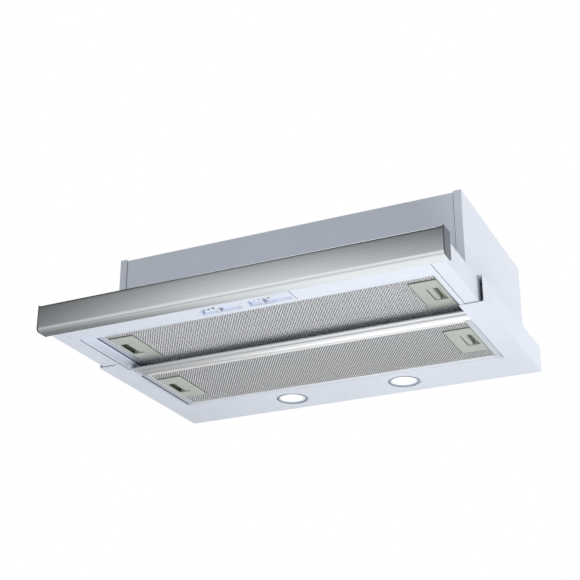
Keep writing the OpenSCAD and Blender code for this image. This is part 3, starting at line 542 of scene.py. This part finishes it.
# Greyer copies of the rail's aluminium for its body, its tabs, the strip before the bright ridge and the front
# strip: painted shade
railShadedBody = brushedFinish("rail_body_painted_shade", (0.68, 0.7, 0.72), (0.56, 0.58, 0.6), 0.32, 3.0, 1200.0)
railShadedBands = brushedFinish("rail_bands_painted_shade", (0.86, 0.87, 0.89), (0.77, 0.78, 0.8), 0.34, 3.0, 1200.0)
addRail(railPlan)
print("rail: done")


# ---- Latch plates and latches ----

latchPlan = {
    "wide": 39.0,           # the plate along X, mm
    "past": 4.0,            # how far the cup goes on past the plate's outer edge
    "corner": 1.6,
    "window": (19.0, 41.0),
    "windowOut": 3.7,       # plate left outside the window
    "windowCorner": 2.6,
    "rim": 0.3,
    "lip": 0.8,
    "cupTop": 7.9,
    "cupHalf": 28.0,
    "cupIn": 33.0,          # from the plate's outer edge to the cup's inner end
    "cupWall": 1.0,
    "gap": 0.55,            # dark line round the tab
    "scoop": 10.6,          # width of the finger scoop beside the tab
    # the scoop's floor from the window's outer edge: start, end, depth at the start, power
    "scoopRight": (0.0, 7.6, 2.4, 1.3),
    "scoopLeft": (10.6, 3.7, 0.6, 1.0),
    "tabIn": 228.7,         # the tab's inner edge from the hood's middle
    "tab": 7.8,
}


# Plate with a window as a looped skin, a dark ring round it, a cup above it whose skin turns in at the rim,
# a scoop whose depth grows as a power of the way across it, drawn along the window, and the scoop's end wall.
# The ring, the cup and the end wall are darker copies of the latch plastic: painted shade
def addLatchPlate(node, plan, body, materials):
    low, high = boxOf(node)
    side = 1 if low[0] > 0 else -1
    out = max(abs(low[0]), abs(high[0])) - plan["past"]
    width = plan["wide"]
    middleY = (low[1] + high[1]) / 2
    z = low[2]
    mid = (side * (out - width / 2), middleY)
    size = (width, high[1] - low[1])
    window = plan["window"]
    hole = (side * (out - plan["windowOut"] - window[0] / 2), middleY)
    rim = plan["rim"]
    outside = ((z + plan["lip"], 0), (z + rim, 0), (z + rim * 0.3, rim * 0.3), (z, rim))
    inside = ((z, -rim), (z + rim * 0.3, -rim * 0.3), (z + rim, 0), (z + plan["lip"], 0))
    rings = np.concatenate((stack(mid, size, plan["corner"], outside),
                            stack(hole, window, plan["windowCorner"], inside)))
    parts = [(skin(rings, looped=True), 0)]
    inner, outer = out - plan["cupIn"], out + plan["past"]
    cupMid = (side * (inner + outer) / 2, middleY)
    cupSize = (outer - inner, 2 * plan["cupHalf"])
    wall = plan["cupWall"]
    rings = stack(cupMid, cupSize, 1.5, ((z + plan["cupTop"] - wall, wall), (z + plan["lip"], wall),
                                         (z + plan["lip"], 0), (z + plan["cupTop"], 0)))
    parts.append((skin(rings), 1))
    outline = stack((mid[0], mid[1] - 1), (width + 1.6, size[1] + 4), plan["corner"] + 0.8,
                    ((z + 0.3, 0), (z + 0.9, 0)))
    within = stack(mid, (width - 0.4, size[1] - 0.4), plan["corner"], ((z + 0.9, 0), (z + 0.3, 0)))
    parts.append((skin(np.concatenate((outline, within)), looped=True), 2))
    edge, deep = hole[0] + side * window[0] / 2, z + plan["cupTop"] - wall
    start, end, shallow, power = plan["scoopRight" if side > 0 else "scoopLeft"]
    share = np.linspace(0, 1, 9)
    slope = np.column_stack((edge - side * (start + (end - start) * share),
                             z + shallow + (deep - z - shallow) * share ** power))
    profile = np.concatenate((slope, [(slope[0, 0], deep + 0.2)]))
    half = window[1] / 2 + 0.3
    ends = [np.column_stack((profile[:, 0], np.full(len(profile), middleY + s * half), profile[:, 1]))
            for s in (-1, 1)]
    parts.append((skin(np.array(ends)), 0))
    x = sorted((edge, edge - side * plan["scoop"]))
    parts.append((softBlock((x[0], middleY + half - 0.2, z + 0.6), (x[1], middleY + half + 1, deep),
                            0.2, 0.1, 2), 3))
    return addPiece(node + "_shape", body, parts, materials, (node,))


# Finger tab: a soft block with rounded corners, a bar behind it and its two prongs
def addLatch(node, plan, body, materials):
    low, high = boxOf(node)
    side = 1 if low[0] > 0 else -1
    tabIn = plan["tabIn"]
    tip = max(abs(low[0]), abs(high[0]))
    middleY = (low[1] + high[1]) / 2
    z = low[2] - 1.1
    half = plan["window"][1] / 2 - plan["gap"]

    def span(a, b):
        return sorted((side * a, side * b))
    x = span(tabIn + 0.25, tabIn + plan["tab"])
    parts = [(softBlock((x[0], middleY - half, z + 1.1), (x[1], middleY + half, high[2]), 2.2, 0.45), 0)]
    prong = ((high[1] - low[1]) / 2 - 4, (high[1] - low[1]) / 2)
    x = span(tabIn + 0.3, tabIn + 3.3)
    parts.append((softBlock((x[0], middleY - prong[1], z + 1.4), (x[1], middleY + prong[1], z + 3.1),
                            0.5, 0.2, 3), 0))
    x = span(tabIn + 0.3, tip)
    for s in (-1, 1):
        y = sorted((middleY + s * prong[0], middleY + s * prong[1]))
        parts.append((softBlock((x[0], y[0], z + 1.1), (x[1], y[1], z + 3.1), 0.8, 0.25, 3), 0))
    return addPiece(node + "_shape", body, parts, materials, (node,))


# Darker copies of the latch plastic for the cup, the scoop's end wall and the ring round the plate: painted
# shade
cupShadeFinish = plasticFinish("latch_cup_painted_shade", (0.13, 0.16, 0.115), 0.6)
scoopEndShadeFinish = plasticFinish("latch_scoop_end_painted_shade", (0.27, 0.305, 0.255), 0.6)
plateRingShadeFinish = plasticFinish("latch_ring_painted_shade", (0.10, 0.11, 0.095), 0.7)
for row, home in (("front", "sliding_frame"), ("rear", "housing")):
    for side in ("left", "right"):
        addLatchPlate("%s_%s_latch_plate" % (row, side), latchPlan, home,
                      (finishes["latch_plastic"], cupShadeFinish, plateRingShadeFinish, scoopEndShadeFinish))
        latch = "%s_%s_latch" % (row, side)
        addLatch(latch, latchPlan, latch, (finishes["latch_plastic"],))
print("latches: done")


# ---- Lamps ----

lampPlan = {
    # (radius, height above the underside) in mm: ring from inside round to outside, lens from its middle
    "ring": ((21.2, 0.38), (21.4, 0.0), (22.2, -0.25), (24.6, -0.25), (25.15, 0.1), (25.15, 0.5),
             (25.15, 1.0), (28.15, 1.0), (28.15, 2.2), (23.05, 2.2), (23.05, 0.4)),
    "lens": ((0.001, 0.5), (14.0, 0.44), (20.5, 0.46), (22.6, 0.75), (22.95, 1.2), (22.95, 2.2),
             (0.001, 2.2)),
    "litAhead": 4.5,      # how far before the lens's middle it is brightest
    "litRadius": 23.0,
    "glow": 0.38,
}


# Frosted lens lit from behind: the glow falls off towards the ring with the square of the distance. Its base
# colour also darkens to blue-grey towards the ring, most behind the middle: painted shade
def lensFinish(middle, plan):
    s = Sheet("lit_lens")
    lit = (middle[0] * mm, (middle[1] - plan["litAhead"]) * mm, 0)
    away = s.node("ShaderNodeVectorMath", {"operation": "DISTANCE"}, {0: s.place, 1: lit}, out="Value")
    share = (away / (plan["litRadius"] * mm)) ** 2
    frost = s.noise(500.0, 2)
    glow = s.mix(share.step(0.3, 1.1), (1.0, 1.0, 1.0), (0.1, 0.2, 0.3))
    return s.finish(colour=s.mix(share.step(0.35, 1.15), s.mix(frost, (0.8, 0.82, 0.85), (0.85, 0.87, 0.9)),
                                 (0.5, 0.56, 0.62)),
                    rough=0.3 + frost * 0.1, glow=glow, glowPower=plan["glow"])


for side in ("left", "right"):
    low, high = boxOf("%s_lamp_ring" % side)
    middle = ((low[0] + high[0]) / 2, (low[1] + high[1]) / 2)
    addPiece("%s_lamp_trim" % side, "housing", [(turned(lampPlan["ring"], middle, 64), 0)],
             (finishes["lamp_chrome"],), ("%s_lamp_ring" % side,))
    addPiece("%s_lamp_glass" % side, "housing", [(turned(lampPlan["lens"], middle, 64, False), 0)],
             (lensFinish(middle, lampPlan),), ("%s_lamp_lens" % side,))
print("lamps: done")


# ---- Front bar ----

barPlan = {
    "sheet": 0.8,
    "nose": 5.5,       # radius of the lower front edge
    "crown": 2.4,      # radius of the upper front edge
    "heel": 0.8,       # radius of the rear edges
    "bow": 0.4,        # how far the face stands proud in its middle
    "lip": 6.0,
}


# Points of a quarter circle about (y, z), from one angle to another in degrees
def arc(y, z, radius, start, end, steps=9):
    angle = np.radians(np.linspace(start, end, steps))
    return np.column_stack((y + radius * np.cos(angle), z + radius * np.sin(angle)))


# Outer line of the bar's section, from the rear lip below round the nose to the rear lip above. The face
# stands proud by bow * (1 - u^2), where u runs from -1 to 1 up the face
def barLine(low, high, plan, inset=0.0):
    y0, y1, z0, z1 = low[1] + inset, high[1] - inset, low[2] + inset, high[2] - inset
    nose, crown, heel = (max(plan[key] - inset, 0.15) for key in ("nose", "crown", "heel"))
    up = np.linspace(z0 + nose, z1 - crown, 13)[1:-1]
    u = np.linspace(-1, 1, 13)[1:-1]
    face = np.column_stack((y0 + plan["bow"] * u * u, up))
    return np.concatenate((
        [(y1, low[2] + plan["lip"])], arc(y1 - heel, z0 + heel, heel, 0, -90, 5),
        arc(y0 + nose + plan["bow"], z0 + nose, nose, 270, 180, 13), face,
        arc(y0 + crown + plan["bow"], z1 - crown, crown, 180, 90, 7),
        arc(y1 - heel, z1 - heel, heel, 90, 0, 5), [(y1, high[2] - plan["lip"])]))


def addBar(plan):
    low, high = boxOf("fascia_bar")
    line, inner = barLine(low, high, plan), barLine(low, high, plan, plan["sheet"])
    profile = np.concatenate((line, inner[::-1]))
    addPiece("bar_sheet", "sliding_frame", [(drawn(profile, low[0], high[0]), 0)], (finishes["stainless"],),
             ("fascia_bar",), smooth=50)


addBar(barPlan)
print("bar: done")


# ---- Painted shade strips in the seams ----

seamPlan = {
    "half": {"left": 0.45, "right": 0.4},       # half the width of the seam beside each rim, mm
    "kind": {"left": 2, "right": 0},            # painted shade line of that seam: 0 dark, 1 soft, 2 pale
    "brim": {"left": (-1.3, 0.9), "right": (0.1, 0.9)},   # the line's edges, from the filter frame's side
    "fold": 2.0,                                # from a rim's inner side to the edge of its fold
    "dark": (0.03, 0.032, 0.045),
    "soft": (0.2, 0.215, 0.27),
    "pale": (0.66, 0.70, 0.79),
}


# Thin strip between two corners
def strip(low, high, corner=0.1, rim=0.05):
    return softBlock(low, high, corner, rim, 2)


# Strips on each side: in the seam between arm and rim, over the tray's front edge, at the inner edge of the
# box's front flange, beside each filter and at the rim's fold. Then two at the control insert, one behind the
# rear filter and one at the right edge of the tray's opening. All are dark, grey or pale lines of painted shade
def addSeams(plan):
    shadowLine = plasticFinish("seam_painted_shadow", plan["dark"], 0.8, 2500.0)
    sliding, fixed = [], []
    tray, panel, sheet = boxOf("lower_tray"), boxOf("cross_panel"), boxOf("front_panel")
    for side, sign, outer in (("left", -1, 0), ("right", 1, 1)):
        rim, arm, flange = (boxOf("%s_%s" % (side, node)) for node in ("rim", "arm", "side_panel"))
        inner = 1 - outer         # number of the corner that is nearer to the hood's middle
        seam, half = rim[outer][0] + sign * 0.3, plan["half"][side]
        sliding.append((strip((seam - half, panel[0][1] + 1, rim[0][2] - 0.05),
                              (seam + half, rim[1][1] - 0.5, rim[0][2] + 0.6), 0.2), plan["kind"][side]))
        x = sorted((rim[outer][0] + sign * 0.6, arm[outer][0] - sign * 0.5))
        fixed.append((strip((x[0], tray[0][1] - 0.35, tray[0][2] + 0.7),
                            (x[1], tray[0][1] + 8, arm[0][2] - 0.2), 0.2, 0.1), 0))
        x = sorted((flange[inner][0], flange[inner][0] - sign * 0.7))
        fixed.append((strip((x[0], flange[0][1] + 0.2, tray[1][2] + 1),
                            (x[1], sheet[0][1] + 0.2, sheet[1][2] - 1)), 1))
        for row, strips in (("front", sliding), ("rear", fixed)):
            low, high = boxOf(row + "_filter_frame")
            x = sorted(sign * (high[0] + past) for past in plan["brim"][side])
            strips.append((strip((x[0], low[1] + 2, low[2] - 0.1), (x[1], high[1] - 5, low[2] + 0.9)), 0))
        fold = rim[inner][0] + sign * plan["fold"]
        x = sorted((fold - sign * 0.12, fold + sign * 0.3))
        sliding.append((strip((x[0], rim[0][1] + 2, rim[0][2] + 0.1),
                              (x[1], rim[1][1] - 2, rim[0][2] + 1.4)), 1))
    low, high = boxOf("control_insert")
    x = high[0] - 0.1
    sliding.append((strip((x - 0.4, low[1] + 0.5, low[2] - 0.06),
                          (x + 0.4, high[1] - 0.5, low[2] + 0.4), 0.1, 0.03), 0))
    sliding.append((strip((low[0], low[1] - 0.3, low[2] - 0.06),
                          (high[0], low[1] + 0.5, low[2] + 0.4), 0.1, 0.03), 1))
    low, high = boxOf("rear_filter_frame")
    fixed.append((strip((low[0] + 1, high[1] + 0.1, low[2] - 1.15),
                        (high[0] - 1, high[1] + 0.95, low[2] + 0.1)), 1))
    x = high[0] + 1.2
    fixed.append((strip((x - 0.5, low[1] + 6, tray[0][2] - 0.06),
                        (x + 0.25, high[1] + 0.5, tray[0][2] + 0.5)), 1))
    soft = plasticFinish("seam_shade", plan["soft"], 0.7, 2500.0)
    pale = plasticFinish("seam_pale_painted_shade", plan["pale"], 0.6, 2500.0)
    addPiece("frame_seam_painted_shade", "sliding_frame", sliding, (shadowLine, soft, pale), smooth=0)
    addPiece("tray_seam_painted_shade", "housing", fixed, (shadowLine, soft), smooth=0)


addSeams(seamPlan)


beadPlan = {
    "at": 251.7,              # from the hood's middle, mm
    "width": (1.0, 0.7),      # of the bright bead at the left and of the grey line at the right
    "along": (3.0, 145.0),    # start and end behind the filter's front edge
    "lip": (2.0, 12.0),       # front and rear edge of the shelf's lip behind the filter's front edge
    "reach": 263.0,           # its half length
}


brimShadeLine = plasticFinish("brim_line_painted_shade", (0.2, 0.22, 0.23), 0.6)


# A bright bead at the left and a grey line of painted shade at the right of each filter, a bead along the
# rear filter's rear edge, and the white lip that the front filter's front edge rests on
def addBeads(plan):
    for row, home in (("front", "sliding_frame"), ("rear", "housing")):
        low, high = boxOf(row + "_filter_frame")
        y0, y1 = (low[1] + along for along in plan["along"])
        parts = []
        for kind, side in enumerate((-1, 1)):
            x = sorted((side * plan["at"], side * (plan["at"] + plan["width"][kind])))
            parts.append((softBlock((x[0], y0, low[2] - 0.25), (x[1], y1, low[2] + 0.2), 0.3, 0.1, 3), kind))
        if row == "rear":
            parts.append((softBlock((low[0] + 4, high[1] - 4.2, low[2] - 0.3),
                                    (high[0] - 4, high[1] - 0.6, low[2] + 0.2), 0.5, 0.25, 3), 0))
        addPiece(row + "_filter_beads", home, parts, (finishes["rail_aluminium"], brimShadeLine), smooth=40)
    low, high = boxOf("front_filter_frame")
    parts = [(softBlock((-plan["reach"], low[1] + plan["lip"][0], low[2] - 0.85),
                        (plan["reach"], low[1] + plan["lip"][1], low[2] - 0.1), 0.3, 0.2, 3), 0)]
    addPiece("front_shelf_lip", "sliding_frame", parts, (finishes["white_paint"],), smooth=40)


addBeads(beadPlan)
print("seams: done")


# ---- Slider controls ----

controlPlan = {
    "markWidth": 1.6,
    "markY": (-195.4, -191.1),
    "lightMarks": (-52.7, -45.8, -38.7),
    "lightGrow": (0.45, 0.7, 1.0),            # shares of a mark's full length
    "speedMarks": (14.9, 22.2, 29.4, 36.6, 44.0),
    "markRise": 0.12,
    "ramps": ((-62.1, 2.2), (10.7, 0.28)),    # left ends of the pockets and length of their ramps
    "pocketY": (-190.6, -175.8),
}


# Knob: a ridge that leans back, drawn across the pocket, on a stem; its section is in (x, z). Its flank to
# the right is coloured dark blue-grey: painted shadow
def addKnob(node, body, materials):
    low, high = boxOf(node)
    mid = (low[0] + high[0]) / 2
    half = (high[0] - low[0]) / 2
    z0, z1 = low[2] + 0.25, 6.15
    lean = np.array(((-half, z1), (-half + 0.3, z1 - 0.9), (-half * 0.45, z0 + 0.5), (-half * 0.2, z0),
                     (half * 0.25, z0), (half * 0.35, z0 + 0.4), (half * 0.4, z1)))
    flank = np.array(((half * 0.3, z1), (half * 0.3, z0 + 0.8), (half * 0.5, z0 + 0.9),
                      (half * 0.9, z1 - 0.6), (half, z1)))
    y = (low[1] + 0.1, high[1] - 0.1)
    soft = 0.5
    parts = []
    for kind, section in enumerate((lean, flank)):
        rings = []
        for at, squeeze in ((y[0], soft), (y[0] + soft * 0.3, soft * 0.3), (y[0] + soft, 0), (y[1] - soft, 0),
                            (y[1] - soft * 0.3, soft * 0.3), (y[1], soft)):
            ring = section.copy()
            ring[:, 0] *= 1 - squeeze / half
            ring[:, 1] = np.maximum(ring[:, 1], z0 + squeeze)
            rings.append(np.column_stack((mid + ring[:, 0], np.full(len(ring), at), ring[:, 1])))
        parts.append((skin(np.array(rings)), kind))
    stemY = (low[1] + high[1]) / 2
    parts.append((softBlock((mid - 1.5, stemY - 2, z1 - 0.5), (mid + 1.5, stemY + 2, high[2]),
                            0.4, 0.2, 3), 0))
    return addPiece(node + "_shape", body, parts, materials, (node,))


knobFinishes = (plasticFinish("knob_white", (0.80, 0.83, 0.90), 0.3),
                plasticFinish("knob_flank_painted_shade", (0.28, 0.32, 0.43), 0.5))
addKnob("light_knob", "light_knob", knobFinishes)
addKnob("speed_knob", "speed_knob", knobFinishes)

markFinish = plasticFinish("printed_marks", (0.015, 0.016, 0.03), 0.5)


# Generic marks: short bars over the pockets, growing with the light and the speed, and a sloping ramp at the
# left end of each pocket, coloured a darker blue: painted shade
def addMarks(plan):
    parts = []
    y0, y1 = plan["markY"]
    z = boxOf("control_insert")[0][2]
    for x, grow in zip(plan["lightMarks"], plan["lightGrow"]):
        parts.append((softBlock((x - plan["markWidth"] * 1.2, y1 - (y1 - y0) * grow, z - 0.02),
                                (x + plan["markWidth"] * 1.2, y1, z + plan["markRise"]), 0.5, 0.02, 3), 0))
    for count, x in enumerate(plan["speedMarks"]):
        grow = 0.35 + 0.65 * count / (len(plan["speedMarks"]) - 1)
        for bar in (-1.1, 1.1):
            parts.append((softBlock((x + bar - 0.6, y1 - (y1 - y0) * grow, z - 0.02),
                                    (x + bar + 0.6, y1, z + plan["markRise"]), 0.3, 0.02, 3), 0))
    addPiece("control_marks", "sliding_frame", parts, (markFinish,), (), smooth=0)
    ramps = []
    for start, long in plan["ramps"]:
        profile = np.array(((start, z + 1.3), (start + long * 0.2, z + 1.3),
                            (start + long, z + 4.9), (start, z + 4.9)))
        ramps.append((skin(np.array([np.column_stack((profile[:, 0], np.full(4, y), profile[:, 1]))
                                     for y in plan["pocketY"]])), 0))
    blue = plasticFinish("pocket_ramp_painted_shade", (0.55, 0.63, 0.82), 0.5)
    addPiece("pocket_ramps", "sliding_frame", ramps, (blue,), (), smooth=0)


addMarks(controlPlan)
print("controls: done")


# ---- Screws ----

screwPlan = {
    "head": 3.2,                       # radius, mm
    "shank": 1.5,
    "cross": (1.7, 0.3),               # half length and half width of the recess's arms
    "seat": 2.0,                       # a head's underside from the outer face of the node's box
    "rise": {"housing_screws": 1.9, "frame_screws": 1.6},   # height of the heads
    "topRows": (0.14, 0.5, 0.86),      # shares of the tray's depth
    "backSteps": (0.22, 0.52, 0.82),   # shares of the box's height
    "backSeat": 1.7,
    "frontRise": 15.0,
}


# Pan-head screw upright on a base point, or with its head to the front: (x, y, z) becomes (x, -z, y)
def screw(base, depth, rise, plan, forward=False):
    r, s = plan["head"], plan["shank"]
    profile = ((0.001, rise), (r * 0.5, rise), (r * 0.8, rise * 0.8), (r * 0.95, rise * 0.5),
               (r, rise * 0.2), (r, 0.0), (s, 0.0), (s, -depth), (0.001, -depth))
    long, half = plan["cross"]
    shapes = [(turned(profile, (0, 0), 32, False), 0)]
    for x, y in ((long, half), (half, long)):
        shapes.append((softBlock((-x, -y, rise - 0.2), (x, y, rise + 0.03), 0.1, 0.02, 2), 1))
    parts = []
    for (corners, faces), kind in shapes:
        if forward:
            corners = corners[:, (0, 2, 1)] * (1, -1, 1)
        parts.append(((corners + np.array(base), faces), kind))
    return parts


# Two columns of screws at the sides: on the top, the back and the front of the box, and four on the cover
def addScrews(plan):
    tray, panel = boxOf("lower_tray"), boxOf("right_side_panel")
    # The dark blocks in the heads' crosses are painted shade of the recesses
    recess = plasticFinish("screw_recess_painted_shade", (0.05, 0.052, 0.055), 0.6)
    materials = (finishes["zinc_steel"], recess)
    low, high = boxOf("housing_screws")
    rise, seat, backSeat = plan["rise"]["housing_screws"], plan["seat"], plan["backSeat"]
    parts = []
    for x in (low[0] + plan["head"], high[0] - plan["head"]):
        for share in plan["topRows"]:
            y = tray[0][1] + share * (tray[1][1] - tray[0][1])
            parts += screw((x, y, high[2] - seat), seat, rise, plan)
        for share in plan["backSteps"]:
            z = tray[1][2] + share * (panel[1][2] - tray[1][2])
            parts += screw((x, high[1] - backSeat, z), backSeat, rise, plan, True)
        parts += screw((x, low[1] + seat, tray[1][2] + plan["frontRise"]), seat, rise, plan, True)
    addPiece("housing_screw_set", "housing", parts, materials, ("housing_screws",))
    low, high = boxOf("frame_screws")
    parts = []
    for x in (low[0] + plan["head"], high[0] - plan["head"]):
        for y in (low[1] + plan["head"], high[1] - plan["head"]):
            parts += screw((x, y, high[2] - seat), seat, plan["rise"]["frame_screws"], plan)
    addPiece("frame_screw_set", "sliding_frame", parts, materials, ("frame_screws",))


addScrews(screwPlan)
print("screws: done")


# ---- World and floor ----

studio = {
    "soft": 0.40,
    "bright": 1.0,
    # what a face to the front mirrors, by the X share of its direction: least, hump, the hump's X and spread
    "face": (0.02, 0.85, -0.4, 0.115),
    "horizon": (0.5, 0.72, -0.37, 0.15),
    "level": 0.38,        # height share that the middle of the face mirrors
    "fall": 2.9,          # how fast its brightness falls with height
    "above": 0.0,
}


# White to the camera and through glass, and a soft even light on surfaces. Mirrors see a white room, but in
# front a bright band along the horizon and over it a panel that darkens upwards and to both sides
def setWorld(plan):
    world = bpy.data.worlds.new("studio")
    world.use_nodes = True
    bpy.context.scene.world = world
    s = Sheet("studio_room", world.node_tree)
    path = {name: s.node("ShaderNodeLightPath", out=name)
            for name in ("Is Camera Ray", "Is Glossy Ray", "Is Transmission Ray")}
    towards = s.node("ShaderNodeTexCoord", out="Generated")
    ahead = s.node("ShaderNodeVectorMath", {"operation": "DOT_PRODUCT"},
                   {0: towards, 1: (-0.45, -0.8, 0.4)}, out="Value").step(0.45, 0.8)
    across, height = (s.node("ShaderNodeSeparateXYZ", None, {"Vector": towards}, out=name) for name in "XZ")
    raised = height - (across + 0.556) * 0.21
    face, horizon = (least + across.hump(middle, spread) * more
                     for least, more, middle, spread in (plan["face"], plan["horizon"]))
    face = face * across.step(-0.62, -0.5) * (1 - (raised - plan["level"]) * plan["fall"]).within(0.3, 1.6)
    share = raised.step(0.12, 0.26)
    front = horizon * (1 - share) + face * share
    mirrored = plan["bright"] + ahead * (front - plan["bright"])
    mirrored = mirrored * (1 - height.step(0.47, 0.66) * (1 - plan["above"]))
    seen = path["Is Camera Ray"].do("MAXIMUM", path["Is Transmission Ray"])
    glossy = path["Is Glossy Ray"]
    level = seen + (1 - seen) * (glossy * mirrored + (1 - glossy) * plan["soft"])
    shader = s.node("ShaderNodeBackground", None, {"Color": (1, 1, 1, 1), "Strength": level})
    s.node("ShaderNodeOutputWorld", None, {"Surface": shader}, out=None)


floorPlan = {"height": -1.25, "half": 7.0}


# Pale floor: mostly white to the camera, so that it keeps a soft shadow, and white in mirrors but for its
# left, which darkens as x + 0.31 y behind the hood and x - 0.45 y before it fall, and a darker strip below it: a
# painted shadow of the hood, seen only in mirrors
def floorFinish():
    s = Sheet("studio_floor")
    grain = s.noise(40.0, 3)
    matt = s.node("ShaderNodeBsdfDiffuse", None, {"Color": s.mix(grain, (0.86, 0.86, 0.86), (0.9, 0.9, 0.9))})
    path = {name: s.node("ShaderNodeLightPath", out=name)
            for name in ("Is Camera Ray", "Is Glossy Ray", "Is Transmission Ray")}
    x, y = (s.node("ShaderNodeSeparateXYZ", None, {"Vector": s.place}, out=name) for name in "XY")
    strip = y.step(-1.9, -1.0) * (1 - y.step(-0.5, 0.3))
    shifted = x + y.within(0, 9) * 0.31 - y.within(-9, 0) * 0.45
    mirrored = (0.2 + shifted.step(-1.55, -0.15) * 1.0) * (1 - strip * 0.3)
    level = 1 - path["Is Glossy Ray"] * (1 - mirrored)
    white = s.node("ShaderNodeEmission", None, {"Color": (1, 1, 1, 1), "Strength": level})
    share = path["Is Glossy Ray"].do("MAXIMUM", path["Is Transmission Ray"]) + path["Is Camera Ray"] * 0.8
    shader = s.node("ShaderNodeMixShader", None, {"Fac": share, 1: matt, 2: white})
    s.node("ShaderNodeOutputMaterial", None, {"Surface": shader}, out=None)
    return s.material


def setFloor(plan):
    half, height = plan["half"], plan["height"]
    mesh = bpy.data.meshes.new("floor")
    mesh.from_pydata([(x * half, y * half, height) for x, y in ((-1, -1), (1, -1), (1, 1), (-1, 1))], [],
                     [(0, 1, 2, 3)])
    mesh.materials.append(floorFinish())
    floor = bpy.data.objects.new("floor", mesh)
    bpy.context.scene.collection.objects.link(floor)


bpy.context.scene.view_settings.view_transform = "Standard"
setCamera(photoView)
setLamps(lampSet)
setWorld(studio)
setFloor(floorPlan)
print("camera, lamps and room: done")
